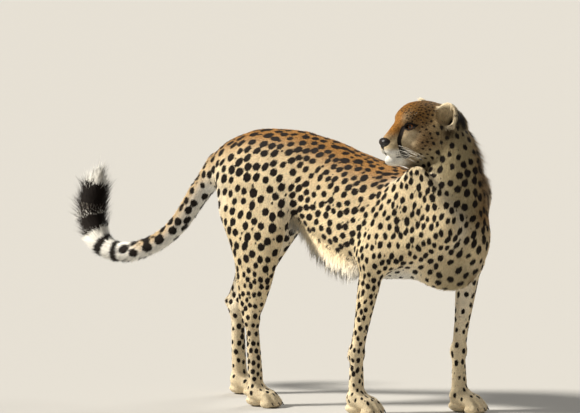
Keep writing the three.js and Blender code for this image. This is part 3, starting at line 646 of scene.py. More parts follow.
PALE_PATCHES = (  # middle, size, strength
    ((-74, 34, 20), (15, 12, 8.5), 1.3),  # under the eye
    ((-62, 34, 4), (20, 16, 17), 0.65),  # on the cheek
    ((-70, 22, 60), (12, 13, 8), 0.35))  # over the eye


def mixed(base, other, share):
    return base + (other - base) * np.clip(share, 0, 1)[:, None]


def glow(p, middle, size):
    """1 at a middle, and fading out about its size away from it."""
    return np.exp(-(((p - middle) / size) ** 2).sum(1))


def behind_neck(p):
    """How far a place lies behind the neck's middle line, level with it."""
    return (p - (318, 8, 0)) @ (NAPE * (1, 1, 0))


def above_tail(p, tail_at):
    """How far a place lies above the tail's middle line."""
    row = np.clip(tail_at * TAIL_STEPS, 0, len(TAIL) - 1)
    return p[:, 2] - np.interp(row, np.arange(len(TAIL)), TAIL[:, 2])


# ---------- the coat's colour between its dark markings ----------
def head_ground(h):
    m = mirrored(h)
    c = mixed(CHEEK, CROWN, ramp(h[:, 2], 34, 62) * ramp(-h[:, 0], 50, 90))
    middle = ramp(-m[:, 1], -26, -10)
    c = mixed(c, RUST, middle * ramp(h[:, 2] + 0.45 * h[:, 0], -14, 2) * ramp(h[:, 0], -118, -78))
    c = mixed(c, FLANK * 0.75, 0.7 * ramp(h[:, 0], -70, -34) * ramp(-m[:, 2], -30, 0))
    for place, size, share in PALE_PATCHES:
        c = mixed(c, CREAM, share * glow(m, place, size))
    # the throat under the jaw, in a colour that holds painted shade
    c = mixed(c, THROAT_SHADED, ramp(-h[:, 2], 0, 42) * ramp(-h[:, 0], 40, 110))
    muzzle = ramp(h[:, 0], -60, -42) * ramp(-h[:, 2], 11, 23)
    chin = ramp(-h[:, 2], 40, 54) * ramp(h[:, 0], -74, -48)
    return mixed(mixed(c, WHITE, muzzle), WHITE, 0.9 * chin)


def ear_ground(c, h):
    """The ground colour with pale rims and bowls of the ears, painted shade deep in the bowls, dark backs,
    painted shade before the ears, and dark coat behind them that is partly a marking and partly painted
    shade.
    """
    m = mirrored(h)
    # painted shade in front of and below each ear
    c = mixed(c, CHEEK * 0.22, 1.1 * glow(m, (-152, 78, 27), (19, 28, 17)))
    # dark behind each ear: partly a black marking, partly painted shade
    c = mixed(c, DARK, 1.7 * glow(m, (-196, 64, 50), (15, 17, 29)))
    for name in EARS:
        q, bowl = in_ear(h, name), hollow(h, name)
        at = (np.minimum(ear(h, name), np.abs(bowl)) < 5) & (q[:, 0] > EAR_FOOT)
        # each bowl is cream, with painted shade at its deep middle
        inner = mixed(CREAM, CHEEK * 0.2, 1.4 * glow(q[:, :2], (-13, 9), (19, 9.5)))
        edge = ramp(q[:, 2] - 5 * (q[:, 1] / EAR_SIZE[1]) ** 2, -5, -1)
        back = mixed(DARK, CREAM, np.maximum(ramp(q[:, 0], 24, 32), edge))
        side = ramp(-bowl, -3.2, -1.2)
        own = np.maximum(ramp(-bowl, -0.8, 0.4), ramp(q[:, 1] + 1.25 * q[:, 0], -20, -4))
        c[at] = mixed(c[at], mixed(back[at], inner[at], side[at]), own[at])
    return c


def ground_colour(p, say, tail_at):
    h, t = in_head(p), height_share(p)
    body = mixed(FLANK, TAWNY, 0.3 * ramp(t, 0.5, 0.75) + 0.7 * ramp(t, 0.72, 0.96))
    body = mixed(body, BELLY, ramp(-t, -0.24, -0.04) * (1 - 0.75 * ramp(p[:, 0], 215, 290)))
    leg = mixed(BELLY, FLANK, 0.5 + 0.5 * ramp(np.abs(p[:, 1]), 62, 96))
    leg = mixed(leg, CREAM, ramp(-p[:, 2], -330, -120))
    # the neck's ground starts from the throat colour, which holds painted shade
    ruff = mixed(THROAT_SHADED, TAWNY * 0.75, 0.75 * ramp(behind_neck(p), 10, 60))
    ruff = mixed(ruff, FLANK, ramp(-p[:, 2], -640, -520) * ramp(-p[:, 0], -340, -270))
    upper = ramp(above_tail(p, tail_at), -14, 12)
    brush = mixed(BELLY, TAWNY * 0.5 + FLANK * 0.5, upper * ramp(-tail_at, -7.2, -6))
    brush = mixed(brush, WHITE, ramp(tail_at, 8.1, 8.5))
    brush = mixed(brush, GREY, ramp(tail_at, 10.7, 10.95) * ramp(-tail_at, -11.4, -11.15))
    brush = mixed(brush, WHITE, ramp(tail_at, 12.5, 12.8))
    c = by_part(say, {"trunk": body, "neck": ruff, "tail": brush, "head": head_ground(h), "leg": leg})
    return ear_ground(c, h)


# ---------- where the spots are set ----------
def spot_plan(p, say, tail_at):
    """Radius of the spots, the room that each has, and how long they are drawn, at places on the skin."""
    h, t = in_head(p), height_share(p)
    one = np.ones(len(p))
    belly, spine = ramp(-t, -0.2, -0.04), ramp(t, 0.72, 0.95)
    thigh, shoulder = ramp(-p[:, 0], 90, 220), ramp(p[:, 0], 180, 280)
    low, foot = ramp(-p[:, 2], -440, -300), ramp(-p[:, 2], -130, -60)
    inner = ramp(-np.abs(p[:, 1]), -84, -60) * ramp(-p[:, 2], -430, -330)
    crown, back, far_back = ramp(h[:, 2], 26, 50), ramp(-h[:, 0], 90, 185), ramp(-h[:, 0], 130, 200)
    chest, nape = ramp(-p[:, 2], -720, -610), ramp(behind_neck(p), 20, 60)
    tip = ramp(tail_at, 2.5, 6)
    radius = {
        "trunk": 9.8 + 2.0 * thigh - 1.0 * shoulder - 2 * belly + 1.6 * spine,
        "neck": 6.8 + 2.4 * chest + 1.8 * nape,
        "tail": 9.8 + 4 * tip,
        "fore": 8.6 - 1.9 * low - 1.9 * foot,
        "hind": 11.2 - 4.2 * low - 1.9 * foot,
        "head": (2.7 + 3.2 * back) * (1 - crown) + crown * (2.2 + 2.8 * far_back),
    }
    room = {
        "trunk": 19.6 + 3.2 * thigh - 2.4 * shoulder + 9 * belly - 1.2 * spine,
        "neck": 20.5 + 2.5 * chest - 3 * nape,
        "tail": 21 + 7 * tip,
        "fore": 17.6 - 3.4 * low + 10 * inner,
        "hind": 22.8 - 7.6 * low + 8 * inner,
        "head": (9.6 + 6.6 * back) * (1 - crown) + crown * (6.4 + 6 * far_back),
    }
    drawn = {"trunk": 1.1 + 0.2 * shoulder + 0.1 * spine, "neck": 1.08 * one, "tail": 1.1 * one,
             "fore": 1.22 * one, "hind": 1.1 * one, "head": 1.15 * one}
    return by_part(say, radius), by_part(say, room), by_part(say, drawn)


def spotless(p, say, tail_at):
    """Above 0 where no spot is set: muzzle, bridge, round the eye, ears, end of the tail and soles."""
    free = -9
    h = in_head(p)
    m = mirrored(h)
    on_head = say["head"] > 0.5
    bridge = np.minimum(m[:, 0] + 86, 40)
    round_eye = 27 - np.linalg.norm(m - EYE, axis=1)
    out = np.where(on_head, np.maximum(bridge, round_eye), free)
    out = np.where(on_head & (m[:, 0] > -125) & (m[:, 2] > 52) & (m[:, 0] < -60), free, out)
    for name in EARS:
        q = in_ear(h, name)
        away = np.minimum(13 - ear(h, name), 60 - np.linalg.norm(q, axis=1))
        away = np.maximum(away, 6 - hollow(h, name))
        out = np.maximum(out, np.where((say["head"] > 0.2) & (q[:, 0] > EAR_FOOT), away, free))
    out = np.maximum(out, np.where(say["tail"] > 0.5, tail_at - SPOTS_END, free))
    return np.maximum(out, np.where(p[:, 2] < 34, 1, free))


def scattered(places, gaps, ways, drawn):
    """Which places stay, so that none is nearer to another than its gap, which is longer along the hair."""
    size, cells, kept = gaps.max() * drawn.max(), {}, []
    keys = np.floor(places / size).astype(int)
    for i, (x, y, z) in enumerate(keys.tolist()):
        near = [j for a in (x - 1, x, x + 1) for b in (y - 1, y, y + 1) for c in (z - 1, z, z + 1)
                for j in cells.get((a, b, c), ())]
        if near:
            off = places[near] - places[i]
            lengthways = (off @ ways[i]) ** 2
            apart = lengthways / drawn[i] ** 2 + ((off * off).sum(1) - lengthways) * drawn[i] ** 2
            if (apart < (0.5 * (gaps[near] + gaps[i])) ** 2).any():
                continue
        cells.setdefault((x, y, z), []).append(i)
        kept.append(i)
    return np.array(kept)


# ---------- distances from the dark markings, negative inside ----------
FAR_OFF, CLEAR = 30.0, 9.0  # what a place gets where no marking is near, and where none may be


def from_spots(p, spots, cell=40.0):
    """Distance from the nearest spot's edge, worked out in cells of space."""
    out = np.full(len(p), FAR_OFF)
    keys, which = np.unique(np.floor(p / cell).astype(int), axis=0, return_inverse=True)
    which = which.ravel()
    order = np.argsort(which, kind="stable")
    ends = np.searchsorted(which[order], np.arange(len(keys) + 1))
    for i, key in enumerate(keys):
        at = order[ends[i]:ends[i + 1]]
        near = np.abs(spots["place"] - (key + 0.5) * cell).max(1) < cell / 2 + FAR_OFF
        if not near.any():
            continue
        q = p[at][:, None] - spots["place"][near]
        r, drawn = spots["radius"][near], spots["drawn"][near]
        a = (q * spots["along"][near]).sum(2) / (r * drawn)
        b = (q * spots["across"][near]).sum(2) / (r / drawn)
        c = (q * spots["out"][near]).sum(2) * 0.75 / r
        out[at] = np.minimum(((np.sqrt(a * a + b * b + c * c) - 1) * r).min(1), FAR_OFF)
    return out


def face_lines(h):
    """Tear lines, dark lids widened over the eye by painted shade, lips, the nose's surround, the nape's
    patch that is partly painted shade, and the roots of the whiskers.
    """
    m = mirrored(h)
    place, t = nearest_on(m, TEARS)
    row = TEARS[place] * (1 - t) + TEARS[place + 1] * t
    d = np.linalg.norm(m - row[:, :3], axis=1) - row[:, 3]
    # the black line over the eye is widened: partly the lid's own black, partly painted shade under the brow
    over = ramp((m - EYE) @ LID_UP, -2, 3)
    lid = np.maximum(lid_opening(m) - 3.2 - 2.8 * over, np.linalg.norm(m - EYE, axis=1) - 24)
    d = np.minimum(d, np.where((m - EYE) @ GAZE > -6, lid, 20))
    # the last, a ball behind the ear, is the nape's patch: partly a dark marking, partly painted shade
    for other in (from_line(m, MOUTH) - 2.4, from_line(m, CLEFT) - 1.6, leather(h) - 1.2,
                  ball(m, (-198, 42, 38), (18, 24, 40))):
        d = np.minimum(d, other)
    for ahead, up in WHISKER_ROOTS:
        dot = np.hypot(m[:, 0] - ahead, m[:, 2] - up) - 1.1
        d = np.minimum(d, np.where(m[:, 1] < 12, 9, dot))
    return d


def line_marks(p, say, tail_at):
    """Distance from the markings that aren't spots."""
    out = np.full(len(p), FAR_OFF)
    near = np.nonzero(say["head"] > 0.2)[0]
    out[near] = face_lines(in_head(p[near]))
    near = np.nonzero(say["tail"] > 0.4)[0]
    s = tail_at[near]
    half = ramp(s, 6.4, 7.4) * 60 + 6  # the first ring is only on the upper side
    for start, end in TAIL_RINGS:
        ring = np.maximum(start - s, s - end) * TAIL_ROW
        out[near] = np.minimum(out[near], np.maximum(ring, -above_tail(p[near], s) - half))
    return out


# ---------- the lie of the coat ----------
def lie(p, n, say, tail_at):
    """The way that the hair points, along the skin."""
    h = in_head(p)
    m = mirrored(h)
    one, none = np.ones(len(p)), np.zeros(len(p))
    rump, front = ramp(-p[:, 0], 250, 340), ramp(p[:, 0], 120, 260)
    side = ramp(-np.clip(height_share(p), 0, 1), -1.0, -0.72)
    down = 0.08 + side * (0.75 + 0.9 * front) + 1.0 * rump * (1 - 0.5 * (1 - side))
    body = np.stack((-one, none, -down), 1)
    leg = np.stack((-0.12 * one, none, -one), 1)
    neck_way = np.stack((-0.25 - 0.8 * ramp(-p[:, 2], -640, -520), none, -one), 1)
    tail_way = tangents(TAIL)[np.clip((tail_at * TAIL_STEPS).astype(int), 0, len(TAIL) - 1)]
    back = ramp(-m[:, 0], 60, 130)[:, None]
    from_nose = unit((m - (-4, 0, -4)) * (1, 0.8, 0.8) + (-18, 0, 0))
    head_way = from_nose * (1 - back) + np.array((-1, 0.05, -0.25)) * back
    head_way[:, 1] *= np.where(h[:, 1] < 0, -1, 1)
    for name, (side, _, axes) in EARS.items():
        q, bowl = in_ear(h, name), hollow(h, name)
        at = (ear(h, name) < 6) & (q[:, 0] > -20)
        at |= (np.abs(bowl) < 6) & (q[:, 0] > -42)
        fan = np.stack((one, q[:, 1] * 0.02 + 1.6 * ramp(-bowl, -2.5, 0), none), 1) @ axes * (1, side, 1)
        head_way[at] = fan[at]
    w = by_part(say, {"trunk": unit(body), "neck": unit(neck_way), "tail": tail_way, "leg": unit(leg),
                      "head": unit(head_way) @ HEAD_AXES})
    return w - n * (w * n).sum(1, keepdims=True)


def smoothed(values, triangles, rounds):
    """Values at corners, averaged with their neighbours'."""
    edges = np.unique(np.sort(np.vstack((triangles[:, :2], triangles[:, 1:], triangles[:, ::2])), 1), axis=0)
    a, b = np.concatenate((edges[:, 0], edges[:, 1])), np.concatenate((edges[:, 1], edges[:, 0]))
    count = np.bincount(a, minlength=len(values))[:, None]
    for _ in range(rounds):
        around = np.stack([np.bincount(a, values[b, i], len(values)) for i in range(values.shape[1])], 1)
        values = 0.4 * values + 0.6 * around / count
    return values


# ---------- the skin and all that is known at its corners ----------
CORNER, TRIANGLES = surface(skin, (-815, -145, -12), (440, 145, 840), FINE)
CORNER, NORMAL = settled(skin, CORNER)
SAY = shares(distances(CORNER))
TAIL_AT = tail_place(CORNER)
WAY = smoothed(lie(CORNER, NORMAL, SAY, TAIL_AT), TRIANGLES, 8)
WAY = unit(WAY - NORMAL * (WAY * NORMAL).sum(1, keepdims=True))
GROUND = ground_colour(CORNER, SAY, TAIL_AT)
AREA = 0.5 * np.linalg.norm(np.cross(CORNER[TRIANGLES[:, 1]] - CORNER[TRIANGLES[:, 0]],
                                     CORNER[TRIANGLES[:, 2]] - CORNER[TRIANGLES[:, 0]]), axis=1)


def on_skin(weight, count):
    """Random places on the skin, as triangles and shares of their corners, more where weight is high."""
    total = np.cumsum(AREA * weight[TRIANGLES].mean(1))
    which = np.searchsorted(total, (np.arange(count) + CHANCE.random(count)) / count * total[-1])
    a, b = CHANCE.random(count), CHANCE.random(count)
    over = a + b > 1
    a[over], b[over] = 1 - a[over], 1 - b[over]
    return np.minimum(which, len(TRIANGLES) - 1), np.stack((1 - a - b, a, b), 1)


def at_places(values, which, share):
    """Values that are known at the skin's corners, at places between them."""
    corners = values[TRIANGLES[which]]
    return (corners * (share if values.ndim == 1 else share[:, :, None])).sum(1)


# ---------- spots ----------
TRIED = 36000  # places tried for spots
TOUCHING = 0.46  # the largest radius, as a share of the distance to the next spot
SMALL_KEPT = 0.35  # share of the small spots that stay


def make_spots():
    radius, gap, drawn = spot_plan(CORNER, SAY, TAIL_AT)
    bare = spotless(CORNER, SAY, TAIL_AT)
    which, share = on_skin(np.where(bare > 0, 0, 1 / gap ** 2), TRIED)
    order = CHANCE.permutation(len(which))
    which, share = which[order], share[order]
    place, room = at_places(CORNER, which, share), at_places(gap, which, share)
    way, long = unit(at_places(WAY, which, share)), at_places(drawn, which, share)
    size = at_places(radius, which, share)
    kept = scattered(place, room, way, long)
    large = size[kept] * np.clip(CHANCE.normal(1, 0.11, len(kept)), 0.8, 1.15)
    between = np.linalg.norm(place[kept][:, None] - place[kept], axis=2)
    np.fill_diagonal(between, 99)  # a spot doesn't crowd itself
    large = np.minimum(large, TOUCHING * between.min(1))
    # between the spots lie small ones, where the coat has room for them
    spare = np.arange(0, len(place), 4)
    gaps = np.concatenate((room[kept] * 0.98, room[spare] * 0.48))
    both = np.concatenate((kept, spare))
    both = scattered(place[both], gaps, way[both], long[both])
    extra = spare[both[both >= len(kept)] - len(kept)]
    extra = extra[CHANCE.random(len(extra)) < SMALL_KEPT]
    small = size[extra] * CHANCE.uniform(0.28, 0.42, len(extra))
    chosen = np.concatenate((kept, extra))
    n = unit(at_places(NORMAL, which, share)[chosen])
    f = at_places(WAY, which, share)[chosen]
    turn = CHANCE.normal(0, 0.22, (len(chosen), 1))
    f = unit(f - n * (f * n).sum(1, keepdims=True))
    s = np.cross(n, f)
    f, s = f * np.cos(turn) + s * np.sin(turn), s * np.cos(turn) - f * np.sin(turn)
    long = long[chosen] * CHANCE.normal(1, 0.06, len(chosen))
    return dict(place=place[chosen], radius=np.maximum(np.concatenate((large, small)), 0.8),
                drawn=np.maximum(long, 1), along=f, across=s, out=n)


SPOTS = make_spots()


def dark_marks(p, say, tail_at):
    """Distance from all dark markings; the bowls of the ears have none."""
    marks = np.minimum(from_spots(p, SPOTS), line_marks(p, say, tail_at))
    near = np.nonzero(say["head"] > 0.1)[0]
    h = in_head(p[near])
    for name in EARS:
        inside = (hollow(h, name) < 2.2) & (in_ear(h, name)[:, 0] > EAR_FOOT)
        marks[near[inside]] = CLEAR
    return marks


# ---------- meshes ----------
def new_mesh(name, corners, triangles, values=(), colours=(), normals=None, uv=None):
    """A mesh object at the origin, from millimetres in the body's frame to metres in the model's."""
    mesh = bpy.data.meshes.new(name)
    mesh.vertices.add(len(corners))
    mesh.loops.add(triangles.size)
    mesh.polygons.add(len(triangles))
    mesh.vertices.foreach_set("co", ((corners + SHIFT) / 1000).astype(np.float32).ravel())
    mesh.loops.foreach_set("vertex_index", triangles.astype(np.int32).ravel())
    mesh.polygons.foreach_set("loop_start", np.arange(0, triangles.size, 3, dtype=np.int32))
    mesh.polygons.foreach_set("use_smooth", np.ones(len(triangles), bool))
    for key, numbers in dict(values).items():
        mesh.attributes.new(key, "FLOAT", "POINT").data.foreach_set("value", numbers.astype(np.float32))
    for key, numbers in dict(colours).items():
        four = np.ones((len(numbers), 4), np.float32)
        four[:, :3] = numbers
        mesh.attributes.new(key, "FLOAT_COLOR", "POINT").data.foreach_set("color", four.ravel())
    if uv is not None:
        layer = mesh.uv_layers.new(name="OFBake")
        layer.data.foreach_set("uv", uv[triangles.ravel()].astype(np.float32).ravel())
    mesh.update(calc_edges=True)
    mesh.validate()
    if normals is not None:
        mesh.attributes.new("custom_normal", "FLOAT_VECTOR", "POINT").data.foreach_set(
            "vector", normals.astype(np.float32).ravel())
    made = bpy.data.objects.new(name, mesh)
    bpy.context.scene.collection.objects.link(made)
    return made


def shown(piece, slot, *nodes):
    """A piece that rides on the body and stands for CAD nodes, if any are named."""
    if nodes:
        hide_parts(*nodes)
    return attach(piece, "root")


# ---------- materials ----------
class Paint:
    """A material, with short ways to add and join its nodes."""

    def __init__(self, name):
        self.material = bpy.data.materials.new(name)
        self.material.use_nodes = True
        self.nodes, self.links = self.material.node_tree.nodes, self.material.node_tree.links
        self.shader = self.nodes["Principled BSDF"]

    def add(self, kind, settings=(), **inputs):
        """A node; each input is named as its socket, with _ for a space, or by i and the socket's number."""
        made = self.nodes.new("ShaderNode" + kind)
        for key, value in dict(settings).items():
            setattr(made, key, value)
        for key, value in inputs.items():
            numbered = key[0] == "i" and key[1:].isdigit()
            self.join(value, made.inputs[int(key[1:]) if numbered else key.replace("_", " ")])
        return made

    def join(self, value, socket):
        if isinstance(value, bpy.types.NodeSocket):
            self.links.new(value, socket)
        elif isinstance(value, bpy.types.Node):
            self.links.new(value.outputs[0], socket)
        else:
            socket.default_value = value

    def maths(self, operation, a, b=0.0, c=0.0):
        return self.add("Math", {"operation": operation}, i0=a, i1=b, i2=c).outputs[0]

    def times(self, a, b):
        return self.maths("MULTIPLY", a, b)

    def around_half(self, noise, strength, value):
        """A value moved up and down by a noise."""
        return self.maths("MULTIPLY_ADD", self.maths("SUBTRACT", noise, 0.5), strength, value)

    def mix(self, a, b, share, way="MIX"):
        made = self.add("Mix", {"data_type": "RGBA", "blend_type": way}, i0=share)
        self.join(a, made.inputs[6])
        self.join(b, made.inputs[7])
        return made.outputs[2]

    def shaded(self, colour, light, share=1.0):
        """A colour times a number."""
        shade = self.add("CombineXYZ", X=light, Y=light, Z=light).outputs[0]
        return self.mix(colour, shade, share, "MULTIPLY")

    def value_of(self, name):
        return self.add("Attribute", {"attribute_name": name}).outputs["Fac"]

    def colour_of(self, name):
        return self.add("Attribute", {"attribute_name": name}).outputs["Color"]

    def blue_of(self, colour):
        return self.add("SeparateColor", Color=colour).outputs["Blue"]

    def noise(self, scale, detail=2.0, roughness=0.5, vector=None):
        vector = vector or self.add("TexCoord").outputs["Object"]
        made = self.add("TexNoise", Vector=vector, Scale=scale, Detail=detail, Roughness=roughness)
        return made.outputs["Fac"]

    def ramp_of(self, value, start, end, low=0.0, high=1.0):
        made = self.add("MapRange", {"interpolation_type": "SMOOTHSTEP"}, Value=value,
                        From_Min=start, From_Max=end, To_Min=low, To_Max=high)
        return made.outputs["Result"]

    def finish(self, colour, roughness, bump=None, distance=0.0005, strength=0.5, **constants):
        self.join(colour, self.shader.inputs["Base Color"])
        self.join(roughness, self.shader.inputs["Roughness"])
        for key, value in constants.items():
            self.shader.inputs[key.replace("_", " ")].default_value = value
        if bump is not None:
            made = self.add("Bump", Strength=strength, Distance=distance, Height=bump)
            self.links.new(made.outputs["Normal"], self.shader.inputs["Normal"])
        return self.material


def rgba(red, green, blue):
    """A screen colour as a shader's."""
    return (*map(float, linear(red, green, blue)), 1.0)


def fur_paint(name, hairs, edge):
    """Coat or skin: its ground colour, and its dark marks with edges as ragged as hair.

    hairs is how strongly single hairs stand out, and edge is how far they cross the edge of a mark.
    """
    paint = Paint(name)
    fine, blot = paint.noise(820, 1), paint.noise(170, 2)
    place = paint.around_half(blot, 2.4, paint.around_half(fine, edge, paint.value_of("dark")))
    marked = paint.ramp_of(place, -0.7, 0.8, 1.0, 0.0)
    ground = paint.colour_of("ground")
    streak = paint.ramp_of(paint.noise(1400, 1), 0.3, 0.7, 0.86, 1.1)
    patchy = paint.ramp_of(paint.noise(26, 3), 0.3, 0.7, 0.93, 1.05)
    single = paint.ramp_of(paint.value_of("tint"), 0, 1, 0.82, 1.12)
    # each tuft is painted darker at its root and lighter at its tip: painted shade deep in the coat
    tip = paint.ramp_of(paint.value_of("reach"), 0, 1, 0.74, 1.12)
    light = paint.times(paint.times(streak, patchy), paint.times(single, tip))
    # light and dark hairs mixed where the ground is deep in colour
    deep = paint.ramp_of(paint.blue_of(ground), 0.06, 0.3, 1.0, 0.0)
    grizzle = paint.ramp_of(paint.noise(360, 2, 0.6), 0.38, 0.62, -0.38, 0.34)
    ground = paint.shaded(ground, paint.times(light, paint.maths("MULTIPLY_ADD", grizzle, deep, 1.0)))
    # ticks of brown hair, fewer where the ground is pale
    ticks = paint.ramp_of(paint.noise(260, 2, 0.6), 0.56, 0.68, 0.0, 0.45)
    ticks = paint.times(ticks, paint.ramp_of(paint.blue_of(ground), 0.42, 0.75, 1.0, 0.1))
    ground = paint.mix(ground, paint.mix(ground, rgba(190, 128, 70), 1.0, "MULTIPLY"), ticks)
    colour = paint.mix(ground, rgba(27, 20, 16), marked)
    return paint.finish(colour, 0.72, bump=paint.noise(1100, 2), distance=0.0006, strength=hairs,
                        Specular_IOR_Level=0.16, Sheen_Weight=0.03, Sheen_Roughness=0.45)


# ---------- skin ----------
FLESH = ["head", "ear_left", "ear_right", "trunk", "neck", "tail_1", "tail_2", "tail_3"]
FLESH += [f"{leg}_{part}" for leg in LEGS for part in ("leg", "shin", "paw")]


def make_skin():
    one = np.ones(len(CORNER))
    values = {"dark": dark_marks(CORNER, SAY, TAIL_AT), "tint": 0.5 * one, "reach": 0.55 * one}
    made = new_mesh("skin", CORNER, TRIANGLES, values=values, colours={"ground": GROUND})
    made.data.materials.append(fur_paint("short_fur", 0.55, 2.4))
    return shown(made, "coat", *FLESH)


make_skin()


# ---------- plan of the coat ----------
WAVES = CHANCE.normal(0, 1, (3, 9, 3)), CHANCE.uniform(0, 6.3, (3, 9))


def sway(p, size):
    """Three slow waves over space, each about -1 to 1, whose crests are about size apart."""
    pitch, phase = WAVES
    return [np.sin(p @ (pitch[i].T * 3.6 / size) + phase[i]).sum(1) / 2.6 for i in range(3)]


def face_hair(h, jaw):
    """Length of the hair on the head, and how much of it is the long hair in and before the ears."""
    back = -mirrored(h)[:, 0]
    length = 2.6 + 2.6 * ramp(back, 30, 90) + 4.5 * ramp(back, 95, 180) + 5 * jaw
    inside = np.zeros(len(h))
    for name in EARS:
        q, rim, bowl = in_ear(h, name), ear(h, name), hollow(h, name)
        length = np.where(np.minimum(rim, np.abs(bowl)) < 5, 3.4, length)
        wall = ramp(-np.abs(bowl), -4, -2) * ramp(-q[:, 1] + 0.4 * q[:, 0], -4, 10) * (q[:, 0] > EAR_FOOT)
        before = ramp(-np.abs(bowl - 2), -7, -2) * ramp(-q[:, 0], -12, 4) * (q[:, 0] > -42)
        inside = np.maximum(inside, wall * ramp(-rim, -12, -6))
        inside = np.maximum(inside, 1.1 * before * ramp(-q[:, 1], -18, -6))
    return length + 10 * inside, inside


def coat_plan(p, n, say, tail_at):
    """Length and width of the tufts, how far they stand off, and how far they hang."""
    h = in_head(p)
    under, nape = fringe(p), on_nape(p, 18, 52, 520, 620)
    low, chest = ramp(-p[:, 2], -420, -160), ramp(-n[:, 2], 0.2, 0.8)
    end, low_tail = ramp(tail_at, 8.3, 10.2), ramp(tail_at, 4, 7)
    jaw = ramp(-h[:, 0], 92, 150) * ramp(-h[:, 2], -20, 40)
    face, inside = face_hair(h, jaw)
    length = {"trunk": 11.5 + 34 * under, "neck": 13 + 13 * nape + 3 * chest, "head": face,
              "tail": 13 + 6 * low_tail + 17 * end, "leg": 10.5 - 4.5 * low - 1.5 * ramp(-p[:, 2], -60, -30)}
    width = {"trunk": 1.9 + 0.7 * under, "neck": 1.75 + 0.3 * nape, "tail": 1.9 + 0.7 * end,
             "leg": 1.85 - 0.35 * low, "head": 0.75 + 0.12 * face}
    stand = {"trunk": 0.15, "neck": 0.2 + 0.3 * nape, "tail": 0.26 + 0.06 * low_tail + 0.2 * end,
             "leg": 0.13, "head": 0.15 + 0.07 * jaw + 0.4 * inside}
    hang = {"trunk": 0.85 * under, "neck": 0.15, "tail": 0.1, "leg": 0, "head": 0.12 * jaw}
    return [by_part(say, table) for table in (length, width, stand, hang)]


def bald():
    """0 where no tuft grows: nose leather, between the lids, lips, soles."""
    h = in_head(CORNER)
    m = mirrored(h)
    lid = np.maximum(lid_opening(m) - 1.6, np.linalg.norm(m - EYE, axis=1) - 23)
    bare = np.minimum(np.minimum(lid, leather(h) - 1.2), from_line(m, MOUTH) - 1.8)
    out = np.ones(len(CORNER))
    out[(SAY["head"] > 0.3) & (bare < 0)] = 0
    out[(CORNER[:, 2] < 6) & (NORMAL[:, 2] < -0.5)] = 0
    return out


LENGTH, BREADTH, STAND, HANG = coat_plan(CORNER, NORMAL, SAY, TAIL_AT)
GROWS = bald()


# ---------- regions: which corners of the skin each piece of the coat grows from ----------
def regions():
    strongest = np.stack(list(SAY.values())).argmax(0)
    most = {part: strongest == i for i, part in enumerate(SAY)}
    front = in_head(CORNER)[:, 0] > -96
    out = {"face": most["head"] & front, "head": most["head"] & ~front}
    out.update({part: most[part] for part in ("neck", "tail", *LEGS)})
    out["fringe"] = most["trunk"] & (fringe(CORNER) * SAY["trunk"] > 0.25)
    for label, start, end in (("rump", -999, -170), ("loin", -170, 40), ("ribs", 40, 999)):
        out[label] = most["trunk"] & ~out["fringe"] & (CORNER[:, 0] >= start) & (CORNER[:, 0] < end)
    return out


REGIONS = regions()
LEG_LINES = {  # the middle line of each leg: heights, then places ahead and out at them
    "fore_right": ((0, 44, 158, 396, 520, 700), (120, 97, 97, 144, 300, 300)),
    "fore_left": ((0, 44, 158, 396, 520, 700), (327, 304, 302, 334, 330, 300)),
    "hind_right": ((0, 42, 228, 370, 560, 700), (-180, -200, -213, -202, -222, -222)),
    "hind_left": ((0, 42, 228, 370, 560, 700), (-334, -354, -360, -284, -222, -222)),
}
LEG_OUT = (86, 86, 86, 84, 60, 50)


def round_axis(p, region):
    """Two numbers that spread a region's skin flat: a place along it and the angle round it."""
    if region in ("head", "face"):
        q = in_head(p) - (-110, 0, 20)
        d = np.linalg.norm(q, axis=1)
        return np.arccos(np.clip(q[:, 0] / d, -1, 1)), np.arctan2(q[:, 1], -q[:, 2])
    if region == "tail":
        place, t = nearest_on(p, TAIL)
        row = TAIL[place] * (1 - t) + TAIL[place + 1] * t
        up = np.cross((0, 1, 0), tangents(TAIL)[place])
        return place + t[:, 0], np.arctan2(p[:, 1] - row[:, 1], ((p - row[:, :3]) * up).sum(1))
    if region == "neck":
        x, y = along(NECK, p[:, 2])[:2]
        return p[:, 2], np.arctan2(p[:, 1] - y, p[:, 0] - x)
    if region in LEGS:
        levels, line = LEG_LINES[region]
        x = np.interp(p[:, 2], levels, line)
        y = np.interp(p[:, 2], levels, LEG_OUT) * (1 if "left" in region else -1)
        return p[:, 2], np.arctan2(p[:, 1] - y, p[:, 0] - x)
    top, under, _ = along(TRUNK, p[:, 0])
    return p[:, 0], np.arctan2(p[:, 1], p[:, 2] - (top + under) / 2)


# ---------- tufts ----------
COVERAGE = {"fringe": 4.6, "neck": 2.6, "tail": 3.0, **dict.fromkeys(LEGS, 1.9)}
USUAL_COVERAGE = 2.3  # tufts that lie over each place, where COVERAGE doesn't say
FRINGE_RINGS = 3  # a lock of the fringe bends, and so has more rings of corners than a spike
SHOWS, TIP = 0.4, 0.95  # shares of a tuft's length where its marking is read
UNMARKED, DARK_ALL_OVER = 8.0, -3.0  # distances that a tuft gets in place of its own
PATCH = 0.0015  # half of what a tuft takes up on the piece's flat map
COAT_PAINT = fur_paint("coat_tufts", 0.25, 1.2)


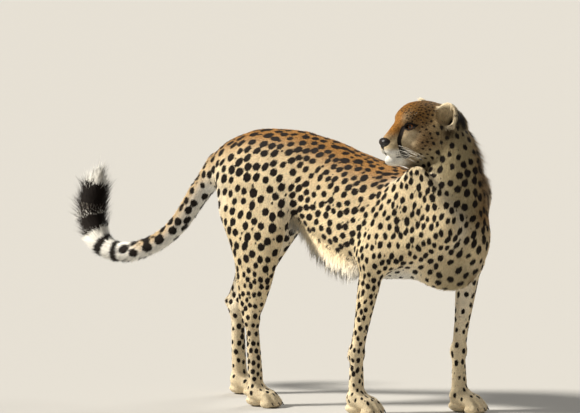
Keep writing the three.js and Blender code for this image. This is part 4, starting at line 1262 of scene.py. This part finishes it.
def tuft_marks(region, root, f, long, which, share):
    """How far the middle and the tip of each tuft are from the dark markings, where the tuft shows."""
    say = {part: at_places(SAY[part], which, share) for part in SAY}
    at = at_places(TAIL_AT, which, share)
    dark, tip = (dark_marks(root + f * ahead[:, None], say, at + ahead / TAIL_ROW)
                 for ahead in (SHOWS * long, TIP * long))
    if region == "fringe":  # its long hair is pale
        return np.where(long > 26, UNMARKED, dark), np.where(long > 20, UNMARKED, tip)
    if region == "tail":  # white hairs run through its last dark ring, and dark ones through the grey
        white = CHANCE.random(len(long)) < 0.3 * ramp(at, 11.6, 12.8)
        sooty = (np.abs(at - 10.9) < 0.45) & (CHANCE.random(len(long)) < 0.55)
        for turned, value in ((white, UNMARKED), (sooty, DARK_ALL_OVER)):
            dark, tip = np.where(turned, value, dark), np.where(turned, value, tip)
    return dark, tip


def woven(rows):
    """Rows for each corner of a tuft as one list, tuft by tuft."""
    rows = np.stack(rows, 1)
    return rows.reshape(-1, *rows.shape[2:])


def tuft_faces(rings):
    """Triangles of one tuft: a base, the sides between its rings, and its point."""
    around = ((0, 1), (1, 2), (2, 0))
    faces = [(0, 1, 2)]
    for i in range(0, 3 * rings - 3, 3):
        for j, k in around:
            faces += [(i + j, i + 3 + j, i + 3 + k), (i + j, i + 3 + k, i + k)]
    last = 3 * rings
    return np.array(faces + [(last - 3 + j, last, last - 3 + k) for j, k in around])


def grown(region):
    """Tufts of one region as one mesh: each is a spike or, with more rings, a bent lock, three-sided."""
    rings = FRINGE_RINGS if region == "fringe" else 1
    weight = REGIONS[region] * GROWS * COVERAGE.get(region, USUAL_COVERAGE) / (0.5 * LENGTH * BREADTH)
    count = int((AREA * weight[TRIANGLES].mean(1)).sum())
    which, share = on_skin(weight, count)
    root, n = at_places(CORNER, which, share), unit(at_places(NORMAL, which, share))
    f = at_places(WAY, which, share)
    long, wide, stand, hang = (at_places(v, which, share) for v in (LENGTH, BREADTH, STAND, HANG))
    # every tuft differs from its neighbours, and slow waves part the coat
    slow, quick = sway(root, 55), sway(root, 14)
    size = 0.5 if region in ("head", "face") else 1.0
    uneven = 0.28 if region == "fringe" else 0.13
    yaw = (CHANCE.normal(0, 0.13, count) + 0.10 * slow[0] + 0.10 * quick[0] * size)[:, None]
    long = long * np.clip(CHANCE.normal(1, uneven, count) + 0.08 * quick[1], 0.4, 1.4)
    wide = wide * CHANCE.uniform(0.8, 1.2, count)
    stand = stand * np.clip(1 + 0.35 * quick[2] + CHANCE.normal(0, 0.25, count), 0.2, 2.2)
    f = unit(f - n * (f * n).sum(1, keepdims=True))
    f = f * np.cos(yaw) + np.cross(n, f) * np.sin(yaw)
    s = np.cross(n, f)
    lit = n
    if region == "fringe":  # loose hair takes light from the side and from above
        lit = unit(0.7 * n + np.stack((0 * long, 0.7 * np.sign(root[:, 1]), 0.8 + 0 * long), 1))
    root = root - n * (0.12 * wide)[:, None]  # the base is sunk into the skin
    tint = CHANCE.random(count)
    dark, dark_tip = tuft_marks(region, root, f, long, which, share)
    # where each tuft lies on the flat map, inside its edges
    a, b = (0.01 + 0.98 * (v - v.min()) / np.ptp(v) for v in round_axis(root, region))
    down = np.array((0, 0, -1.0))
    curl = CHANCE.normal(0, 0.12, count) * (rings > 1)

    def middle(t):
        """Centre of a tuft at a share t of its length."""
        ahead, lifted, aside = (1 - hang * t) * long * t, stand * long * t ** 0.8, curl * long * t * t
        way = f * ahead[:, None] + n * lifted[:, None] + s * aside[:, None]
        return root + way + down * (hang * long * t * t)[:, None]

    places, normals, reach, patch = [], [], [], []
    for t in np.arange(rings) / rings:
        half = (0.5 * wide * (1 - t ** 1.7) * (1 if t else 0.85))[:, None]
        c = middle(t)
        places += [c - s * half, c + n * (half * 0.55), c + s * half]
        normals += [unit(lit + s * side + f * 0.1) for side in (-0.55, 0, 0.55)]
        reach += [t + 0 * long] * 3
        patch += [np.stack((a + x * PATCH * (1 - t), b + (t - 0.5) * 2 * PATCH + y), 1)
                  for x, y in ((-1, 0), (0, 0.0004), (1, 0))]
    places.append(middle(1.0))
    normals.append(unit(lit + f * 0.25))
    reach.append(1 + 0 * long)
    patch.append(np.stack((a, b + PATCH), 1))
    per = 3 * rings + 1
    triangles = (np.arange(count)[:, None, None] * per + tuft_faces(rings)).reshape(-1, 3)
    values = {"dark": woven([dark + (dark_tip - dark) * r for r in reach]), "tint": np.repeat(tint, per),
              "reach": woven(reach)}
    ground = np.repeat(at_places(GROUND, which, share), per, 0)
    made = new_mesh("coat_" + region, woven(places), triangles, values=values, colours={"ground": ground},
                    normals=woven(normals), uv=woven(patch))
    made.data.materials.append(COAT_PAINT)
    return shown(made, "coat")


for region in REGIONS:
    grown(region)


# ---------- eyes ----------
CORNEA, CORNEA_EDGE = 0.035, 0.5  # its rise, a share of the radius, and its edge, an angle from the gaze
PUPIL, AMBER, RIM = (0.31, 0.35), (0.52, 0.62), (0.68, 0.76)  # angles from the gaze where each ends


def ring_faces(rings, sides, first=0):
    """Triangles between neighbouring rings of corners."""
    faces = []
    for i in range(rings - 1):
        for j in range(sides):
            a, b = first + i * sides + j, first + i * sides + (j + 1) % sides
            faces += [(a, a + sides, b + sides), (a, b + sides, b)]
    return faces


def eye_ball(turns=40, steps=26):
    """Angles from the gaze and round it for the corners of one ball, and its triangles."""
    levels, round_them = np.linspace(0, np.pi, steps + 1)[1:-1], np.arange(turns) * 2 * np.pi / turns
    from_gaze = np.concatenate(([0], np.repeat(levels, turns), [np.pi]))
    around = np.concatenate(([0], np.tile(round_them, steps - 1), [0]))
    last = len(from_gaze) - 1
    faces = [(0, 1 + j, 1 + (j + 1) % turns) for j in range(turns)]
    faces += ring_faces(steps - 1, turns, 1)
    faces += [(last, last - turns + (j + 1) % turns, last - turns + j) for j in range(turns)]
    return from_gaze, around, np.array(faces)


def eye_paint():
    """A dark pupil, an amber ring with darker spokes and edge, and brown past it; the amber is painted darker
    than its own, partly as painted shade from the brow.
    """
    paint = Paint("eye_gloss")
    turn = paint.value_of("turn")
    place = paint.add("CombineXYZ", X=paint.value_of("round_x"), Y=paint.value_of("round_y"), Z=0.0)
    spoke = paint.add("VectorMath", {"operation": "NORMALIZE"}, i0=place).outputs[0]
    streaks = paint.ramp_of(paint.noise(9, 3, 0.6, spoke), 0.25, 0.75, 0.55, 1.25)
    # the amber is darkened part way, as painted shade cast by the brow
    amber = paint.mix(rgba(122, 70, 22), rgba(54, 28, 10), paint.ramp_of(turn, 0.30, 0.56))
    amber = paint.shaded(amber, streaks, 0.8)
    amber = paint.mix(amber, rgba(40, 22, 10), paint.ramp_of(turn, *AMBER))
    amber = paint.mix(rgba(6, 5, 4), amber, paint.ramp_of(turn, *PUPIL))
    colour = paint.mix(amber, rgba(24, 17, 12), paint.ramp_of(turn, *RIM))
    return paint.finish(colour, 0.22, Coat_Weight=0.45, Coat_Roughness=0.03, Specular_IOR_Level=0.3)


def make_eyes():
    """Two balls with a slight cornea, each point knowing its angle from the gaze and its place round it."""
    from_gaze, around, faces = eye_ball()
    radius = EYE_RADIUS * (1 + CORNEA * np.exp(-(from_gaze / CORNEA_EDGE) ** 4))
    x, y = np.sin(from_gaze) * np.cos(around), np.sin(from_gaze) * np.sin(around)
    corners = []
    for side in (1, -1):
        gaze, middle = GAZE * (1, side, 1), EYE * (1, side, 1)
        across = unit(np.cross((0, 0, 1), gaze))
        way = np.cos(from_gaze)[:, None] * gaze + x[:, None] * across + y[:, None] * np.cross(gaze, across)
        corners.append(from_head(middle + way * radius[:, None]))
    values = {"turn": np.tile(from_gaze, 2), "round_x": np.tile(x, 2), "round_y": np.tile(y, 2)}
    made = new_mesh("eyes", np.vstack(corners), np.vstack((faces, faces + len(from_gaze))), values=values)
    made.data.materials.append(eye_paint())
    return shown(made, "eyes", "eye_left", "eye_right")


# ---------- nose leather ----------
def nostrilled(p):
    """The nose leather with its nostrils and the groove between them."""
    h = in_head(p)
    m = mirrored(h)
    hole = smin(limb(m, (6, 5.5, -3.5), (-8, 9, -3), (2.6, 2.6), (2.4, 2.2)),
                limb(m, (0, 8, -3.6), (-15, 16.5, -1.5), (1.5, 1.5), (1.4, 1.2)), 2)
    groove = np.hypot(np.maximum(np.abs(h[:, 1]) - 0.2, 0), np.maximum(-h[:, 0] - 3, 0) * 0.5) - 0.7
    return smax(smax(leather(h), -hole, 1.6), -np.maximum(groove, h[:, 2] + 1), 1.5)


def make_nose():
    corner, triangles = surface(nostrilled, NOSE_TIP - 45, NOSE_TIP + 45, [(NOSE_TIP - 42, NOSE_TIP + 42, 7)])
    corner, _ = settled(nostrilled, corner)
    made = new_mesh("nose_leather", corner, triangles)
    paint = Paint("nose_skin")
    place = paint.add("TexCoord").outputs["Object"]
    cells = paint.add("TexVoronoi", {"feature": "F1"}, Vector=place, Scale=900.0).outputs["Distance"]
    bump = paint.maths("MULTIPLY_ADD", paint.noise(2600, 2), 0.25, cells)
    tone = paint.ramp_of(paint.noise(120, 3), 0.3, 0.7)
    colour = paint.mix(rgba(22, 18, 17), rgba(44, 36, 34), tone)
    rough = paint.ramp_of(cells, 0.0, 0.6, 0.42, 0.3)
    made.data.materials.append(
        paint.finish(colour, rough, bump=bump, distance=0.0004, strength=0.7, Specular_IOR_Level=0.5))
    return shown(made, "nose_leather", "nose")


# ---------- claws ----------
CLAW_RINGS, CLAW_SIDES = 9, 10
CLAW_LENGTH, CLAW_HIGH, CLAW_WIDE = 17.0, 4.0, 2.6  # the last two are half of its size at the root


def claw(root):
    """Corners of one blunt hook, ring by ring and then its point."""
    turns = 2 * np.pi * np.arange(CLAW_SIDES) / CLAW_SIDES
    rows = []
    for t in np.arange(CLAW_RINGS) / CLAW_RINGS:
        bend = np.radians(-8 - 62 * t)
        place = root + CLAW_LENGTH * np.array((t - 0.30 * t * t, 0, -0.12 * t - 0.38 * t * t))
        high = CLAW_HIGH * (1 - t) ** 0.7 * np.array((-np.sin(bend), 0, np.cos(bend)))
        wide = CLAW_WIDE * (1 - t) ** 0.75 * np.array((0, 1, 0))
        rows += [place + high * np.cos(a) + wide * np.sin(a) for a in turns]
    return np.array(rows + [root + CLAW_LENGTH * np.array((0.70, 0, -0.50))])


def make_claws():
    """One claw at the end of each toe, darker towards its tip."""
    corners = []
    fore, hind = (RIGHT_FORE, LEFT_FORE), (RIGHT_HIND, LEFT_HIND)
    for leg, size in [(leg, FORE_PAW) for leg in fore] + [(leg, HIND_PAW) for leg in hind]:
        for toe in TOES:
            tip = toe_line(leg["knuckle"], toe, size)[2]
            corners.append(claw(np.array((tip[0] + 4 * size, tip[1] * leg["side"], 16 * size))))
    last, count = CLAW_RINGS * CLAW_SIDES, len(corners)
    end_ring = last - CLAW_SIDES
    faces = [(0, j + 1, j) for j in range(1, CLAW_SIDES - 1)]
    faces += [(a, c, b) for a, b, c in ring_faces(CLAW_RINGS, CLAW_SIDES)]
    faces += [(end_ring + j, end_ring + (j + 1) % CLAW_SIDES, last) for j in range(CLAW_SIDES)]
    triangles = (np.arange(count)[:, None, None] * (last + 1) + np.array(faces)).reshape(-1, 3)
    reach = np.append(np.repeat(np.arange(CLAW_RINGS) / CLAW_RINGS, CLAW_SIDES), 1.0)
    made = new_mesh("claws", np.vstack(corners), triangles, values={"reach": np.tile(reach, count)})
    paint = Paint("claw_horn")
    streak = paint.noise(700, 2)
    darker = paint.maths("MULTIPLY_ADD", streak, 0.5, paint.maths("SUBTRACT", paint.value_of("reach"), 0.2))
    colour = paint.mix(rgba(92, 76, 62), rgba(30, 24, 20), darker)
    made.data.materials.append(
        paint.finish(colour, 0.34, bump=streak, distance=0.0002, strength=0.4, Specular_IOR_Level=0.5))
    return shown(made, "claws", *[f"{leg}_claw_{i}" for leg in LEGS for i in (1, 2, 3, 4)])


# ---------- whiskers ----------
def whisker_tree():
    """Bristles along lines: each line becomes a round hair that is thinner towards its tip."""
    tree = bpy.data.node_groups.new("bristles", "GeometryNodeTree")
    for name, way, kind in (("Geometry", "INPUT", "Geometry"), ("Root radius", "INPUT", "Float"),
                            ("Sides", "INPUT", "Int"), ("Material", "INPUT", "Material"),
                            ("Geometry", "OUTPUT", "Geometry")):
        tree.interface.new_socket(name=name, in_out=way, socket_type="NodeSocket" + kind)
    nodes = {name: tree.nodes.new(kind) for name, kind in (
        ("start", "NodeGroupInput"), ("end", "NodeGroupOutput"), ("lines", "GeometryNodeMeshToCurve"),
        ("place", "GeometryNodeSplineParameter"), ("taper", "ShaderNodeMapRange"),
        ("thick", "ShaderNodeMath"), ("radius", "GeometryNodeSetCurveRadius"),
        ("ring", "GeometryNodeCurvePrimitiveCircle"), ("hair", "GeometryNodeCurveToMesh"),
        ("real", "GeometryNodeRealizeInstances"), ("paint", "GeometryNodeSetMaterial"))}
    nodes["taper"].inputs["To Min"].default_value = 1.0
    nodes["taper"].inputs["To Max"].default_value = 0.18
    nodes["thick"].operation = "MULTIPLY"
    nodes["ring"].inputs["Radius"].default_value = 1.0
    nodes["hair"].inputs["Fill Caps"].default_value = True
    for source, output, target, socket in (
            ("start", "Geometry", "lines", 0), ("place", "Factor", "taper", "Value"),
            ("taper", "Result", "thick", 0), ("start", "Root radius", "thick", 1),
            ("lines", 0, "radius", "Curve"), ("thick", 0, "radius", "Radius"),
            ("start", "Sides", "ring", "Resolution"), ("radius", 0, "hair", "Curve"),
            ("ring", 0, "hair", "Profile Curve"), ("thick", 0, "hair", "Scale"),
            ("hair", 0, "real", 0), ("real", 0, "paint", "Geometry"),
            ("start", "Material", "paint", "Material"), ("paint", 0, "end", 0)):
        tree.links.new(nodes[source].outputs[output], nodes[target].inputs[socket])
    return tree


def by_tree(name, corners, edges, tree, inputs):
    """The plain mesh that a tree makes from lines, at the origin."""
    mesh = bpy.data.meshes.new(name + "_lines")
    mesh.from_pydata(((corners + SHIFT) / 1000).tolist(), edges, [])
    holder = bpy.data.objects.new(name + "_lines", mesh)
    bpy.context.scene.collection.objects.link(holder)
    change = holder.modifiers.new("tree", "NODES")
    change.node_group = tree
    for item in tree.interface.items_tree:
        if item.name in inputs and item.in_out == "INPUT":
            change[item.identifier] = inputs[item.name]
    graph = bpy.context.evaluated_depsgraph_get()
    plain = bpy.data.meshes.new_from_object(holder.evaluated_get(graph), depsgraph=graph)
    made = bpy.data.objects.new(name, plain)
    bpy.context.scene.collection.objects.link(made)
    bpy.data.objects.remove(holder)
    return made


def whisker_lines():
    """Corners and edges of the whiskers on the lips and over the eyes."""
    chance = np.random.default_rng(3)
    each = 9  # corners on a whisker
    steps = np.linspace(0, 1, each)[:, None]
    corners = []

    def rooted(place, way, spread):
        """A place moved onto the skin, and a way that strays a little."""
        return onto_skin([place], 12)[0], unit(np.array(way) + chance.normal(0, spread, 3))

    def hair(root, way, length, droop):
        """Adds one hair, which hangs more towards its tip."""
        sag = np.array((-0.30, 0, -1)) * droop * length
        corners.append(from_head(root - way * 2 + way * length * steps + sag * steps * steps))

    for side in (1, -1):
        for ahead, up in WHISKER_ROOTS:
            root, way = rooted((ahead, 18.0 * side, up), (-0.55, 0.75 * side, -0.12), 0.09)
            length = chance.uniform(42, 78) * (0.55 + 0.45 * (-root[0] - 28) / 30)
            hair(root, way, length, chance.uniform(0.12, 0.3))
        for n in range(4):  # over the eye
            place, way = (-74 - 3 * n, (21 + 3 * n) * side, 60.0), (0.1 - 0.1 * n, 0.55 * side, 0.9)
            hair(*rooted(place, way, 0.1), chance.uniform(22, 36), 0.1)
    edges = [(each * n + i, each * n + i + 1) for n in range(len(corners)) for i in range(each - 1)]
    return np.vstack(corners), edges


def make_whiskers():
    paint = Paint("whisker_white")
    white = paint.finish(paint.mix(rgba(250, 247, 240), rgba(226, 218, 200), paint.noise(300, 1)), 0.4)
    inputs = {"Root radius": 0.00042, "Sides": 5, "Material": white}
    made = by_tree("whiskers", *whisker_lines(), whisker_tree(), inputs)
    return shown(made, "coat")


make_eyes()
make_nose()
make_claws()
make_whiskers()


# ---------- floor, light and camera ----------
TARGET = (np.array((-149.6, 0.0, 514.0)) + SHIFT) / 1000
SEEN_FROM = (30, 6)  # azimuth and elevation in degrees
DISTANCE, LIGHT_DISTANCE, SEEN_ACROSS, HALF_FLOOR = 14.0, 5.0, 1.5026, 30.0  # metres
FILM = 36


def placed(name, data, azimuth, elevation, distance):
    """A camera or light that looks at the target from a side, in degrees."""
    a, e = np.radians((azimuth, elevation))
    way = np.array((np.sin(a) * np.cos(e), -np.cos(a) * np.cos(e), np.sin(e)))
    made = bpy.data.objects.new(name, data)
    made.location = TARGET + distance * way
    made.rotation_euler = Vector(-way).to_track_quat("-Z", "Y").to_euler()
    bpy.context.scene.collection.objects.link(made)
    return made


camera = placed("camera", bpy.data.cameras.new("camera"), *SEEN_FROM, DISTANCE)
camera.data.sensor_width = FILM
camera.data.lens = FILM * DISTANCE / SEEN_ACROSS
camera.data.clip_end = 100
bpy.context.scene.camera = camera

for name, azimuth, elevation, strength, spread, colour in (
        ("sun", -54, 40, 6.2, 9, (1.0, 0.95, 0.86)),
        ("back_light", 172, 36, 1.5, 35, (1.0, 0.98, 0.93))):
    light = placed(name, bpy.data.lights.new(name, "SUN"), azimuth, elevation, LIGHT_DISTANCE).data
    light.energy, light.angle, light.color = strength, np.radians(spread), colour

world = bpy.data.worlds.new("studio")
world.use_nodes = True
world.node_tree.nodes["Background"].inputs["Color"].default_value = (1.0, 0.98, 0.93, 1)
world.node_tree.nodes["Background"].inputs["Strength"].default_value = 0.14
bpy.context.scene.world = world
bpy.context.scene.view_settings.view_transform = "Standard"

floor = bpy.data.objects.new("floor", bpy.data.meshes.new("floor"))
corners = [(x * HALF_FLOOR, y * HALF_FLOOR, 0) for x, y in ((-1, -1), (1, -1), (1, 1), (-1, 1))]
floor.data.from_pydata(corners, [], [(0, 1, 2, 3)])
floor.data.materials.append(Paint("pale_floor").finish((0.46, 0.45, 0.43, 1), 0.9))
bpy.context.scene.collection.objects.link(floor)
